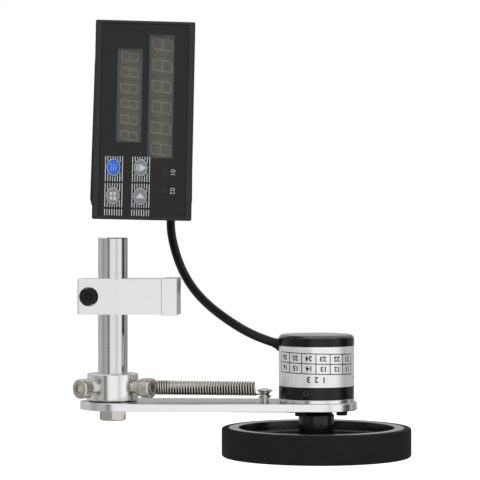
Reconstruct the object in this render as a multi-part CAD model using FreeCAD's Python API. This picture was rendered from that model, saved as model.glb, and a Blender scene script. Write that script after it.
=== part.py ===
# Cable length counter: a sprung arm carries a measuring wheel on a rotary encoder,
# and a panel counter shows the length.
# All lengths are in mm. The origin is the centre of the clamp block's mounting face, with +X out of that face
# towards the wheel, +Y to the back and +Z up along the rod.
import FreeCAD, Part
import math
import os

os.makedirs("parts", exist_ok=True)

V = FreeCAD.Vector
UP = V(0, 0, 1)
DOWN = V(0, 0, -1)
BACK = V(0, 1, 0)
FORE = V(0, -1, 0)
RIGHT = V(1, 0, 0)
LEFT = V(-1, 0, 0)

# Clearances and overruns shared by the whole part
running = 0.03           # radial, a shaft that turns or slides in its hole
snug = 0.02              # radial or per side, pieces that are fixed together
thread_clearance = 0.05  # radial, a plain shank in a plain hole that stands for a thread
free_gap = 0.3           # between pieces that move past each other
touch = 0.02             # behind pieces that rest on each other
overrun = 1.0            # how far a cutting tool reaches past the surface it cuts

# Clamp block, rod and collar
block_depth = 25.0
block_height = 18.0
block_edge = 0.5
pad_length = 7.7
pad_proud = 0.35
rod_to_face = 33.5
slit_width = 1.6
rod_diameter = 15.0
rod_length = 82.2
rod_above_block = 20.6
rod_edge = 0.4
collar_diameter = 26.0
collar_height = 13.6
collar_edge = 0.4
clamp_screw_inset = 5.7
clamp_screw_wall = 0.8
clamp_screw_head_sink = 0.2
mount_hole_spacing = 14.0
mount_hole_depth = 12.0

# Metric screws: shank diameter, head diameter, head height, key width, key depth
m5_shank = 5.0
m5_head = 8.5
m5_head_height = 5.0
m5_key = 4.0
m5_key_depth = 2.5
m6_shank = 6.0
m6_head = 10.0
m6_head_height = 6.0
m6_key = 5.0
m6_key_depth = 3.0
head_edge = 0.6
small_sides = 12
counterbore_clearance = 0.5
collar_screw_left_angle = 231.5
collar_screw_left_neck = 5.0
collar_screw_right_angle = -27.0
collar_screw_right_neck = 4.7

# Pivot
bolt_diameter = 8.0
bolt_flats = 13.0
bolt_head_height = 5.3
bolt_length = 25.0
bolt_turn = 33.0
bolt_hole_depth = 22.0
bolt_washer_diameter = 13.0
bolt_washer_thickness = 0.5
thrust_washer_diameter = 24.0
thrust_washer_thickness = 0.35
bush_wall = 1.2

# Arm
arm_width = 40.0
arm_thickness = 4.0
arm_edge = 0.25
pivot_inset = 16.5
arm_end_inset = 20.5
arm_reach = 103.0
post_to_encoder = 26.0
post_diameter = 4.0
post_head_diameter = 8.4
post_cone_height = 2.2
post_crown_height = 0.9
post_length = 10.6
post_slot_width = 1.0
post_slot_depth = 1.0
post_slot_angle = 40.0
post_slot_reach_share = 0.62

# Spring
spring_wire = 0.9
spring_outer = 7.6
spring_from_collar = 10.3
spring_to_post = 4.6
spring_pitch = 1.37
spring_start_height = 6.8
spring_end_height = 6.4
spring_offset = -0.4
spring_first_angle = 30.0
spring_last_angle = 180.0
spring_gap_least = 0.4
spring_gap_step = 0.3    # between the points on which the gap is measured
spring_seat_share = 0.72
hook_end_angle = 40.0
hook_back_share = 0.80   # of the way past the screw's head, where the wire goes behind it
hook_up_share = 0.72
hook_out_share = 0.6
hook_lead_shares = (0.75, 0.65)
hook_dip_share = 0.15
spring_wire_sides = 4

# Encoder
encoder_diameter = 38.0
encoder_flange_diameter = 38.5
encoder_flange_thickness = 1.9
encoder_pilot_diameter = 20.0
encoder_band_height = 6.3
encoder_label_height = 20.1
encoder_cap_height = 5.7
encoder_cap_round = 2.2
encoder_wall = 1.6
label_thickness = 0.2
label_seam = 1.2
label_seam_angle = 186.0
shaft_diameter = 6.0
bearing_diameter = 13.0
bearing_width = 5.0
bearing_spacing = 3.0
bearing_housing_wall = 2.5
disc_diameter = 27.0
disc_thickness = 0.8
disc_height = 20.0
disc_hub_diameter = 11.0
disc_hub_height = 3.0
reader_width = 8.0
reader_depth = 6.0
encoder_board_thickness = 1.2
encoder_board_height = 25.0
encoder_screw_diameter = 3.0
encoder_screw_head = 5.5
encoder_screw_head_height = 2.2
encoder_screw_circle = 30.0
encoder_screw_length = 8.0
encoder_screw_count = 4
encoder_screw_angle = -31.0
encoder_screw_key = 2.0
side_screw_diameter = 2.5
side_screw_head = 3.6
side_screw_head_height = 0.5
side_screw_height_share = 0.55
side_screw_angle = 255.0

# Wheel
wheel_diameter = 95.5
wheel_width = 14.5
wheel_drop = 8.9
wheel_edge = 0.7
tyre_thickness = 3.55
rim_thickness = 4.9
dish_depth = 5.6
hub_diameter = 18.0
hub_top_gap = 1.0
hub_chamfer_in = 2.0
hub_chamfer_down = 1.6
grub_diameter = 4.0
grub_angle = 215.0
grub_drop = 5.0
grub_key = 2.0

# Strain relief and cable
arc_share = 0.45         # of the shorter run, taken up by the arc at each corner of a route
cable_diameter = 4.5
cable_sides = 8
gland_diameter = 6.8
gland_stand = 2.5
gland_above_label = 1.39
gland_lean = 18.0
gland_proud = 2.6
gland_root = 3.6
gland_root_width = 5.0
gland_lip = 0.25
jacket_end_side = 7.62   # from the middle of the terminal row to the end of the cable's jacket
jacket_end_back = 8.56   # behind the case
jacket_end_down = 37.13
# Route of the cable from the strain relief to the counter, chosen by hand
cable_route = [
    (48.0, 0.0, -23.3),
    (41.5, 0.0, -21.2),
    (32.6, 1.9, -16.9),
    (22.4, 8.4, -10.3),
    (12.9, 17.2, -3.1),
    (5.4, 24.0, 4.6),
    (-0.3, 30.2, 13.2),
    (-4.6, 36.4, 23.2),
    (-7.2, 42.2, 33.4),
    (-7.6, 46.2, 42.6),
    (-6.6, 48.2, 48.6),
]
lower_point_count = 5    # the cable's two lengths meet halfway along the run after this many points

# Counter, in its own frame: x to its right, y into it and z up, from the middle of the bezel's front
meter_x = -12.9
meter_y = -49.7
meter_z = 86.1
meter_roll = 1.2
meter_yaw = 6.5
bezel_width = 48.0
bezel_height = 96.0
bezel_depth = 8.0
bezel_corner = 0.8
bezel_edge = 0.6
bezel_side_rib = 3.0
bezel_end_rib = 1.4
bezel_rib_depth = 0.6
front_wall = 2.0
sheet_thickness = 0.5
case_side_inset = 1.75
case_end_inset = 2.25
case_depth = 80.0
case_wall = 3.0
case_back_wall = 2.0
window_width = 12.3
large_window_x = 8.15
large_window_from_end = 6.4
large_window_above_keys = 4.8
small_window_x = -7.15
small_window_from_end = 13.4
small_window_above_keys = 12.1
window_lip = 1.0
digit_count = 6
digit_end_gap = 0.15
digit_block_depth = 6.0
digit_block_width = 11.6
digit_gap = 0.2
key_width = 6.6
oval_sides = 20
key_height = 8.5
key_proud = 0.4
key_flange = 0.8
key_flange_thickness = 1.0
key_stem_diameter = 3.0
key_travel = 0.4
key_clearance = 0.3
key_left_x = -14.05
key_right_x = -0.95
key_above_end = 11.3
key_row_spacing = 13.8
light_x = 10.75
light_below_keys = 1.6
light_above_keys = 3.1
light_diameter = 3.0
front_board_place = 11.0
board_thickness = 1.6
front_board_gap = 0.25
board_gap = 0.75
switch_width = 6.0
switch_body = 3.5
switch_plunger_diameter = 3.4
switch_plunger = 1.0
plunger_sides = 8
stem_sides = 6
main_board_x = -10.0
main_board_end_gap = 1.4
relay_width = 15.0
relay_height = 19.0
relay_depth = 15.0
relay_spacing = 22.0
relay_count = 2
relay_z_share = 0.24
transformer_width = 24.0
transformer_height = 30.0
transformer_depth = 26.0
transformer_z_share = -0.26
terminal_count = 9
terminal_pitch = 7.62
terminal_row_x = 10.5
terminal_row_width = 11.0
terminal_row_depth = 9.0
terminal_root = 6.0
terminal_end = 2.0
terminal_barrier = 1.3
terminal_pocket_depth = 5.5
terminal_screw_head = 5.0
terminal_screw_head_height = 1.6
terminal_screw_shank = 3.0
terminal_screw_length = 6.0
terminal_slot = 0.8
terminal_head_sides = 8
terminal_shank_sides = 6
clip_above = 59.5    # the plate's ends, from the middle of the foot
clip_below = 12.7
clip_length = 30.0
clip_plate = 2.8
clip_tip = 1.9
clip_nose = 3.2
clip_foot_inner = 12.4
clip_foot_outer = 9.2
clip_foot_depth = 1.4
clip_place = 24.0
clip_z = -28.5
clip_groove_start = 6.0
clip_hook = 4.0
clip_thin_share = 0.6
core_diameter = 1.3
core_count = 5
core_sides = 4
core_spread = 1.35
core_rise = 5.0
core_stub = 4.0

# Places worked out from the sizes above
block_length = rod_to_face + rod_diameter / 2 + m5_shank / 2 + clamp_screw_wall + clamp_screw_inset
arm_length = pivot_inset + arm_reach + arm_end_inset
post_reach = arm_reach - post_to_encoder
spring_start = collar_diameter / 2 + spring_from_collar
spring_end = post_reach - spring_to_post
spring_extra_angle = spring_last_angle - spring_first_angle
spring_coils = round((spring_end - spring_start) / spring_pitch - spring_extra_angle / 360)
case_width = bezel_width - 2 * case_side_inset
case_height = bezel_height - 2 * case_end_inset
key_lower_z = -bezel_height / 2 + key_above_end
key_upper_z = key_lower_z + key_row_spacing
light_upper_z = key_upper_z - light_below_keys
light_lower_z = key_lower_z + light_above_keys
large_window_top = bezel_height / 2 - large_window_from_end
large_window_bottom = key_upper_z + large_window_above_keys
large_window_height = large_window_top - large_window_bottom
large_window_z = (large_window_top + large_window_bottom) / 2
small_window_top = bezel_height / 2 - small_window_from_end
small_window_bottom = key_upper_z + small_window_above_keys
small_window_height = small_window_top - small_window_bottom
small_window_z = (small_window_top + small_window_bottom) / 2
large_digit_pitch = (large_window_height - 2 * digit_end_gap) / digit_count
small_digit_pitch = (small_window_height - 2 * digit_end_gap) / digit_count
front_board_width = case_width - 2 * case_wall - 2 * front_board_gap
board_height = case_height - 2 * case_wall - 2 * board_gap
meter_place = V(meter_x, meter_y, meter_z)
rod_x = -rod_to_face
rod_radius = rod_diameter / 2
rod_top = block_height / 2 + rod_above_block
rod_bottom = rod_top - rod_length
collar_radius = collar_diameter / 2
collar_top = rod_bottom + collar_height
collar_middle = rod_bottom + collar_height / 2
arm_top = rod_bottom - thrust_washer_thickness - 2 * touch
arm_bottom = arm_top - arm_thickness
arm_left = rod_x - pivot_inset
encoder_x = rod_x + arm_reach
post_x = rod_x + post_reach
encoder_radius = encoder_diameter / 2
band_bottom = arm_top + encoder_flange_thickness
band_top = band_bottom + encoder_band_height
label_top = band_top + encoder_label_height
cap_top = label_top + encoder_cap_height
wheel_top = arm_bottom - wheel_drop
wheel_bottom = wheel_top - wheel_width
wheel_radius = wheel_diameter / 2
rim_radius = wheel_radius - tyre_thickness
dish_radius = rim_radius - rim_thickness
hub_radius = hub_diameter / 2
hub_top = arm_bottom - hub_top_gap
label_inner_radius = encoder_radius - label_thickness
encoder_bore_radius = label_inner_radius - encoder_wall
rod_axis = V(rod_x, 0, 0)
encoder_axis = V(encoder_x, 0, 0)
sheet_front = bezel_rib_depth
wall_front = sheet_front + sheet_thickness + touch
wall_back = wall_front + front_wall
case_front = bezel_depth + touch
case_back = bezel_depth + case_depth


def at_height(place, height):
    return V(place.x, place.y, height)


def cylinder(diameter, length, start, direction=UP):
    return Part.makeCylinder(diameter / 2, length, start, direction)


def ring(outer, inner, length, start, direction=UP):
    hole_start = start - direction * overrun
    hole = cylinder(inner, length + 2 * overrun, hole_start, direction)
    return cylinder(outer, length, start, direction).cut(hole)


def block(low, high):
    return Part.makeBox(high.x - low.x, high.y - low.y, high.z - low.z, low)


def centred_block(width, depth, height, middle):
    half = V(width / 2, depth / 2, height / 2)
    return block(middle - half, middle + half)


def polygon(points):
    return Part.Face(Part.makePolygon(points + [points[0]]))


def turned(outline, centre, direction):
    """Solid of revolution: outline holds (radius, distance along the axis) pairs."""
    points = [V(radius, 0, along) for radius, along in outline]
    solid = polygon(points).revolve(V(0, 0, 0), UP, 360)
    solid.Placement = FreeCAD.Placement(centre, FreeCAD.Rotation(UP, direction))
    return solid


def sided_outline(corner_radius, sides, turn=0.0):
    points = []
    for k in range(sides):
        angle = math.radians(360 / sides * k + turn)
        points.append(V(corner_radius * math.cos(angle), corner_radius * math.sin(angle), 0))
    return points


def prism(corner_radius, sides, length, start, direction, turn=0.0):
    solid = polygon(sided_outline(corner_radius, sides, turn)).extrude(UP * length)
    solid.Placement = FreeCAD.Placement(start, FreeCAD.Rotation(UP, direction))
    return solid


def hexagon(flats, length, start, direction, turn=0.0):
    return prism(flats / math.sqrt(3), 6, length, start, direction, turn)


def wire_section(place, direction, diameter, sides):
    """Regular section of a wire or cable, with the area of the round one, square to direction at place."""
    slice_angle = 2 * math.pi / sides
    corner = diameter / 2 * math.sqrt(slice_angle / math.sin(slice_angle))
    section = Part.makePolygon(sided_outline(corner, sides) + sided_outline(corner, 1))
    section.Placement = FreeCAD.Placement(place, FreeCAD.Rotation(UP, direction))
    return section


def socket_screw(shank, head, head_height, key, key_depth, length, under_head, direction):
    """Socket-head cap screw. direction points from under the head towards its top."""
    outline = [(0, -length), (shank / 2 - head_edge / 2, -length), (shank / 2, -length + head_edge / 2)]
    outline += [(shank / 2, 0), (head / 2, 0), (head / 2, head_height - head_edge)]
    outline += [(head / 2 - head_edge, head_height), (0, head_height)]
    screw = turned(outline, under_head, direction)
    key_start = under_head + direction * (head_height - key_depth)
    return screw.cut(hexagon(key, key_depth + overrun, key_start, direction))


def heading(degrees):
    angle = math.radians(degrees)
    return V(math.cos(angle), math.sin(angle), 0)


def joined(solids):
    body = solids[0]
    for solid in solids[1:]:
        body = body.fuse(solid)
    return body.removeSplitter()


def write(name, shape):
    solids = shape.Solids
    for solid in solids:
        if not solid.isValid() or not solid.isClosed():
            print("BAD SOLID in", name)
    kept = solids[0] if len(solids) == 1 else Part.makeCompound(solids)
    kept.exportStep("parts/" + name + ".step")
    print(name, len(solids), "solids", round(kept.Volume, 1), "mm3")
    return kept


def make_clamp_block():
    half_depth = block_depth / 2
    half_height = block_height / 2
    low = V(-block_length, -half_depth, -half_height)
    high = V(0, half_depth, half_height)
    body = block(low, high)
    pad_low = V(-pad_length, -half_depth - pad_proud, -half_height - pad_proud)
    pad_high = V(0, half_depth + pad_proud, half_height + pad_proud)
    body = body.fuse(block(pad_low, pad_high)).removeSplitter()
    ends = [edge for edge in body.Edges if abs(edge.BoundBox.XMin + block_length) < touch]
    ends = [edge for edge in ends if abs(edge.BoundBox.XMax + block_length) < touch]
    body = body.makeChamfer(block_edge, ends)
    below = at_height(rod_axis, -half_height - overrun)
    body = body.cut(cylinder(rod_diameter + 2 * running, block_height + 2 * overrun, below))
    slit_low = V(-block_length - overrun, -slit_width / 2, -half_height - overrun)
    slit_high = V(rod_x, slit_width / 2, half_height + overrun)
    body = body.cut(block(slit_low, slit_high))
    screw_x = -block_length + clamp_screw_inset
    sink = m5_head_height + clamp_screw_head_sink
    bore_start = V(screw_x, -half_depth - overrun, 0)
    body = body.cut(cylinder(m5_head + 2 * counterbore_clearance, sink + overrun, bore_start, BACK))
    hole = cylinder(m5_shank + 2 * thread_clearance, block_depth + 2 * overrun, bore_start, BACK)
    body = body.cut(hole)
    for side in (-1, 1):
        start = V(overrun, side * mount_hole_spacing / 2, 0)
        body = body.cut(cylinder(m5_shank, mount_hole_depth + overrun, start, LEFT))
    return body


def make_clamp_screw():
    seat = -block_depth / 2 + m5_head_height + clamp_screw_head_sink
    under_head = V(-block_length + clamp_screw_inset, seat, 0)
    length = block_depth - m5_head_height - clamp_screw_head_sink
    under_head = under_head - BACK * touch
    return socket_screw(m5_shank, m5_head, m5_head_height, m5_key, m5_key_depth, length, under_head, FORE)


def make_rod():
    outline = [(0, rod_bottom), (rod_radius - rod_edge / 2, rod_bottom)]
    outline.append((rod_radius, rod_bottom + rod_edge / 2))
    outline += [(rod_radius, rod_top - rod_edge), (rod_radius - rod_edge, rod_top), (0, rod_top)]
    body = turned(outline, rod_axis, UP)
    start = at_height(rod_axis, rod_bottom - overrun)
    hole_diameter = bolt_diameter + 2 * thread_clearance
    return body.cut(cylinder(hole_diameter, bolt_hole_depth + overrun, start))


def make_collar():
    inner = rod_radius + snug
    outline = [(inner, rod_bottom), (collar_radius - collar_edge, rod_bottom)]
    outline += [(collar_radius, rod_bottom + collar_edge), (collar_radius, collar_top - collar_edge)]
    outline += [(collar_radius - collar_edge, collar_top), (inner, collar_top)]
    body = turned(outline, rod_axis, UP)
    for angle in (collar_screw_left_angle, collar_screw_right_angle):
        start = at_height(rod_axis, collar_middle)
        tap = cylinder(m6_shank + 2 * thread_clearance, collar_radius + overrun, start, heading(angle))
        body = body.cut(tap)
    return body


def make_collar_screw(angle, neck):
    direction = heading(angle)
    under_head = at_height(rod_axis, collar_middle) + direction * (collar_radius + neck)
    length = collar_radius + neck - rod_radius - touch
    sizes = (m6_shank, m6_head, m6_head_height, m6_key, m6_key_depth)
    return socket_screw(*sizes, length, under_head, direction)


def make_pivot_bolt():
    seat = arm_bottom - bolt_washer_thickness - 2 * touch
    head_start = at_height(rod_axis, seat)
    head = hexagon(bolt_flats, bolt_head_height, head_start, DOWN, bolt_turn)
    corner = bolt_flats / math.sqrt(3)
    # The corners of the head are turned down to a cone on its outer face.
    cone = [(0, 0), (corner + overrun, 0), (corner + overrun, bolt_head_height - overrun)]
    cone += [(bolt_flats / 2 - head_edge / 2, bolt_head_height), (0, bolt_head_height)]
    head = head.common(turned(cone, head_start, DOWN))
    shank = [(0, 0), (bolt_diameter / 2, 0), (bolt_diameter / 2, bolt_length - head_edge)]
    shank += [(bolt_diameter / 2 - head_edge, bolt_length), (0, bolt_length)]
    return joined([head, turned(shank, head_start, UP)])


def make_bolt_washer():
    start = at_height(rod_axis, arm_bottom - bolt_washer_thickness - touch)
    return ring(bolt_washer_diameter, bolt_diameter + 2 * running, bolt_washer_thickness, start)


def make_thrust_washer():
    start = at_height(rod_axis, rod_bottom - thrust_washer_thickness - touch)
    return ring(thrust_washer_diameter, bolt_diameter + 2 * running, thrust_washer_thickness, start)


def bush_outer():
    return bolt_diameter + 2 * running + 2 * bush_wall


def make_pivot_bush():
    start = at_height(rod_axis, arm_bottom)
    return ring(bush_outer(), bolt_diameter + 2 * running, arm_thickness, start)


def make_arm_plate():
    half = arm_width / 2
    left = V(arm_left + half, 0, arm_bottom)
    right = V(arm_left + arm_length - half, 0, arm_bottom)
    edges = [
        Part.LineSegment(left + FORE * half, right + FORE * half).toShape(),
        Part.Arc(right + FORE * half, right + RIGHT * half, right + BACK * half).toShape(),
        Part.LineSegment(right + BACK * half, left + BACK * half).toShape(),
        Part.Arc(left + BACK * half, left + LEFT * half, left + FORE * half).toShape(),
    ]
    body = Part.Face(Part.Wire(edges)).extrude(UP * arm_thickness)
    rim_edges = [edge for edge in body.Edges if edge.BoundBox.ZLength < touch]
    body = body.makeChamfer(arm_edge, rim_edges)
    holes = [
        (rod_axis, bush_outer() + 2 * snug),
        (V(post_x, 0, 0), post_diameter + 2 * thread_clearance),
        (encoder_axis, encoder_pilot_diameter + 2 * snug),
    ]
    for place in encoder_screw_places():
        holes.append((place, encoder_screw_diameter + 2 * free_gap))
    for place, diameter in holes:
        start = at_height(place, arm_bottom - overrun)
        body = body.cut(cylinder(diameter, arm_thickness + 2 * overrun, start))
    return body


def make_spring_post():
    top = arm_bottom + post_length
    rim = top - post_crown_height
    half_head = post_head_diameter / 2
    half = post_diameter / 2
    # The crown is the cap of a ball through the rim of the head and its top.
    ball = (half_head ** 2 + post_crown_height ** 2) / (2 * post_crown_height)
    middle_angle = math.asin(half_head / ball) / 2
    crown_middle = V(ball * math.sin(middle_angle), 0, top - ball + ball * math.cos(middle_angle))
    corners = [V(0, 0, top), V(half_head, 0, rim), V(half, 0, rim - post_cone_height)]
    corners += [V(half, 0, arm_bottom), V(0, 0, arm_bottom)]
    edges = [Part.Arc(corners[0], crown_middle, corners[1]).toShape()]
    for start, end in zip(corners[1:], corners[2:] + corners[:1]):
        edges.append(Part.LineSegment(start, end).toShape())
    body = Part.Face(Part.Wire(edges)).revolve(V(0, 0, 0), UP, 360)
    slot = centred_block(post_head_diameter, post_slot_width, 2 * post_slot_depth, V(0, 0, top))
    slot.rotate(V(0, 0, 0), UP, post_slot_angle)
    cross = slot.copy()
    cross.rotate(V(0, 0, 0), UP, 90)
    keep_start = V(0, 0, arm_bottom + post_diameter)
    keep = cylinder(post_head_diameter * post_slot_reach_share, post_length, keep_start)
    body = body.cut(joined([slot, cross]).common(keep))
    body.translate(V(post_x, 0, 0))
    return body


def unit(vector):
    return vector * (1 / vector.Length)


def arc_from_tangent(start, tangent, end):
    """Arc from start to end that leaves start along tangent, or a line where they are in line."""
    chord = end - start
    along = unit(chord)
    side = tangent - along * tangent.dot(along)
    if side.Length < 1e-6:
        return Part.LineSegment(start, end).toShape()
    turn = math.atan2(side.Length, tangent.dot(along))
    middle = start + chord * 0.5 + unit(side) * (chord.Length / 2 * math.tan(turn / 2))
    return Part.Arc(start, middle, end).toShape()


def biarc(start, start_heading, end, end_heading):
    """Two arcs that meet tangentially and join two points with a heading at each."""
    span = end - start
    both = start_heading + end_heading
    square = 2 * (start_heading.dot(end_heading) - 1)
    linear = -2 * span.dot(both)
    constant = span.dot(span)
    if abs(square) < 1e-9:
        reach = -constant / linear
    else:
        root = math.sqrt(linear * linear - 4 * square * constant)
        reach = max((-linear + root) / (2 * square), (-linear - root) / (2 * square))
    joint = (start + start_heading * reach + end - end_heading * reach) * 0.5
    middle_heading = unit(end - end_heading * reach - start - start_heading * reach)
    first = arc_from_tangent(start, start_heading, joint)
    second = arc_from_tangent(joint, middle_heading, end)
    return [first, second]


def spring_radius():
    return (spring_outer - spring_wire) / 2


def spring_axis_point(share):
    x = rod_x + spring_start + (spring_end - spring_start) * share
    rise = spring_start_height + (spring_end_height - spring_start_height) * share
    return V(x, spring_offset * (1 - share), arm_top + rise)


def helix_point(turned_by, whole):
    """Place and heading on the coils, which turn from the top to the front, the bottom and the back."""
    share = turned_by / whole
    angle = math.radians(spring_first_angle + turned_by)
    radius = spring_radius()
    place = spring_axis_point(share) + V(0, -radius * math.sin(angle), radius * math.cos(angle))
    per_radian = (spring_axis_point(1) - spring_axis_point(0)) * (1 / math.radians(whole))
    direction = per_radian + V(0, -radius * math.cos(angle), -radius * math.sin(angle))
    return place, unit(direction)


def left_hook_points():
    """The hook round the neck of the right collar screw, from its free end to the first coil."""
    out = heading(collar_screw_right_angle)
    back = V(-out.y, out.x, 0)
    loop = m6_shank / 2 + spring_wire / 2 + free_gap / 2
    reach = collar_radius + collar_screw_right_neck * spring_seat_share
    middle = at_height(rod_axis, collar_middle) + out * reach
    slope = math.radians(hook_end_angle)
    tip = middle + back * (loop * math.cos(slope)) + DOWN * (loop * math.sin(slope))
    tip_heading = back * (-math.sin(slope)) + DOWN * math.cos(slope)
    past_head = m6_head / 2 + spring_wire / 2 + free_gap
    points = [(tip, tip_heading)]
    points.append((middle + DOWN * loop, back * (-1)))
    points.append((middle - back * loop, UP))
    points.append((middle + UP * loop, back))
    lifted = middle + back * (past_head * hook_back_share) + UP * (past_head * hook_up_share)
    lifted = lifted + out * (spring_wire * hook_out_share)
    points.append((lifted, unit(back * hook_lead_shares[0] + out * hook_lead_shares[1])))
    return points


def right_hook_points():
    """The hook round the neck of the post, from the last coil to its free end."""
    loop = post_diameter / 2 + spring_wire / 2 + free_gap / 2
    height = arm_bottom + post_length - post_crown_height - post_cone_height - spring_wire
    middle = V(post_x, 0, height)
    ease = spring_radius()
    start = middle + LEFT * ease + BACK * loop + UP * (spring_wire / 3)
    points = [(start, unit(RIGHT + DOWN * hook_dip_share))]
    points.append((middle + BACK * loop, RIGHT))
    points.append((middle + RIGHT * loop, FORE))
    points.append((middle + FORE * loop, LEFT))
    last = heading(hook_end_angle)
    points.append((middle + LEFT * (loop * last.y) + FORE * (loop * last.x), LEFT * last.x + BACK * last.y))
    return points


def spring_path():
    whole = 360.0 * spring_coils + spring_extra_angle
    steps = math.ceil(whole / 180)
    points = left_hook_points()
    for k in range(steps + 1):
        points.append(helix_point(whole * k / steps, whole))
    points += right_hook_points()
    tip, tip_heading = points[0]
    free_end, free_heading = points[-1]
    start = tip - tip_heading * spring_wire
    edges = [Part.LineSegment(start, tip).toShape()]
    for (before, before_heading), (after, after_heading) in zip(points, points[1:]):
        edges += biarc(before, before_heading, after, after_heading)
    edges.append(Part.LineSegment(free_end, free_end + free_heading * spring_wire).toShape())
    return edges, start, tip_heading


def least_gap(edges):
    """Least clear distance from the wire to itself, between points at least a coil's width apart along it."""
    points = []
    travelled = 0.0
    for edge in edges:
        count = math.ceil(edge.Length / spring_gap_step)
        for k, point in enumerate(edge.discretize(count + 1)[:-1]):
            points.append((point.x, travelled + edge.Length * k / count, point))
        travelled += edge.Length
    points.sort(key=lambda item: item[0])
    least = spring_outer
    for i, (x, along, point) in enumerate(points):
        k = i + 1
        while k < len(points) and points[k][0] - x < least:
            if abs(points[k][1] - along) > spring_outer:
                least = min(least, (points[k][2] - point).Length)
            k += 1
    return least - spring_wire


def make_spring():
    edges, start, direction = spring_path()
    wire = Part.Wire(edges)
    solid = wire.makePipeShell([wire_section(start, direction, spring_wire, spring_wire_sides)], True, False)
    whole = 360.0 * spring_coils + spring_extra_angle
    pitch = (spring_axis_point(1) - spring_axis_point(0)).Length * 360 / whole
    gap = round(least_gap(edges), 3)
    print("spring pitch", round(pitch, 3), "least gap to itself", gap, "over", spring_gap_least)
    length = sum(edge.Length for edge in edges)
    area = math.pi * spring_wire ** 2 / 4
    print("spring wire length", round(length, 1), "volume", round(solid.Volume, 1))
    print("against the round wire's", round(length * area, 1))
    return Part.Solid(solid) if solid.ShapeType == "Shell" else solid


def encoder_screw_places():
    places = []
    for k in range(encoder_screw_count):
        direction = heading(encoder_screw_angle + 360 / encoder_screw_count * k)
        places.append(encoder_axis + direction * (encoder_screw_circle / 2))
    return places


def bearing_top():
    return arm_bottom + 2 * bearing_width + bearing_spacing + touch


def make_encoder_flange():
    outer = encoder_flange_diameter / 2
    pilot = encoder_pilot_diameter / 2
    seat = bearing_diameter / 2 + snug
    pass_radius = shaft_diameter / 2 + free_gap
    tower = seat + bearing_housing_wall
    inner_top = bearing_top() + touch
    spigot = encoder_bore_radius - snug
    spigot_top = band_bottom + encoder_wall
    floor = arm_bottom + encoder_wall / 2
    outline = [(pass_radius, arm_bottom), (pilot, arm_bottom), (pilot, arm_top)]
    outline += [(outer, arm_top), (outer, band_bottom)]
    outline += [(spigot, band_bottom), (spigot, spigot_top), (tower, spigot_top), (tower, inner_top)]
    outline += [(seat, inner_top), (seat, floor), (pass_radius, floor)]
    body = turned(outline, encoder_axis, UP)
    for place in encoder_screw_places():
        start = at_height(place, arm_top - overrun)
        tap = encoder_screw_diameter / 2 + thread_clearance
        body = body.cut(prism(tap, small_sides, encoder_screw_length, start, UP))
    return body


def side_screw_axis():
    direction = heading(side_screw_angle)
    height = band_bottom + encoder_band_height * side_screw_height_share
    return at_height(encoder_axis, height), direction


def gland_line():
    """Middle of the strain relief's outer end, and the way that it points."""
    start = V(encoder_x - encoder_radius - gland_stand, 0, label_top + gland_above_label)
    lean = math.radians(gland_lean)
    return start, LEFT * math.cos(lean) + UP * math.sin(lean)


def jacket_end():
    """Middle of the end of the cable's jacket, in the counter's frame."""
    return V(terminal_row_x + jacket_end_side, case_back + jacket_end_back, -jacket_end_down)


def cable_points():
    """The cable's route, moved so that its ends are on the strain relief and behind the counter."""
    points = [V(*point) for point in cable_route]
    first_move = gland_line()[0] - points[0]
    last_move = meter_placement().multVec(jacket_end()) - points[-1]
    whole = len(points) - 1
    return [point + first_move * (1 - k / whole) + last_move * (k / whole) for k, point in enumerate(points)]


def gland_root_block(width, extra):
    """Square root of the strain relief, through the housing's wall. extra lengthens it both ways."""
    start, direction = gland_line()
    middle = start - direction * gland_proud
    low = V(middle.x - extra, -width / 2, middle.z - width / 2)
    high = V(middle.x + gland_root + extra, width / 2, middle.z + width / 2)
    return block(low, high)


def make_encoder_housing():
    label_seat = label_inner_radius - touch
    outline = [(encoder_bore_radius, band_bottom + touch), (encoder_radius, band_bottom + touch)]
    outline += [(encoder_radius, band_top), (label_seat, band_top), (label_seat, label_top - touch)]
    outline += [(encoder_bore_radius, label_top - touch)]
    body = turned(outline, encoder_axis, UP)
    place, direction = side_screw_axis()
    start = place + direction * (encoder_radius - encoder_wall - overrun)
    hole = side_screw_diameter + 2 * thread_clearance
    body = body.cut(cylinder(hole, encoder_wall + 2 * overrun, start, direction))
    sink = place + direction * (encoder_radius - side_screw_head_height)
    body = body.cut(cylinder(side_screw_head + 2 * snug, side_screw_head_height + overrun, sink, direction))
    return body.cut(gland_root_block(gland_root_width + 2 * snug, gland_root))


def make_encoder_label():
    start = at_height(encoder_axis, band_top + touch)
    height = encoder_label_height - 2 * touch
    body = ring(encoder_diameter, 2 * label_inner_radius, height, start)
    low = V(0, -label_seam / 2, band_top)
    high = V(encoder_diameter, label_seam / 2, label_top)
    seam = block(low, high)
    seam.rotate(V(0, 0, 0), UP, label_seam_angle)
    seam.translate(V(encoder_x, 0, 0))
    return body.cut(seam).cut(gland_root_block(gland_root_width + 2 * free_gap, gland_root))


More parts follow.
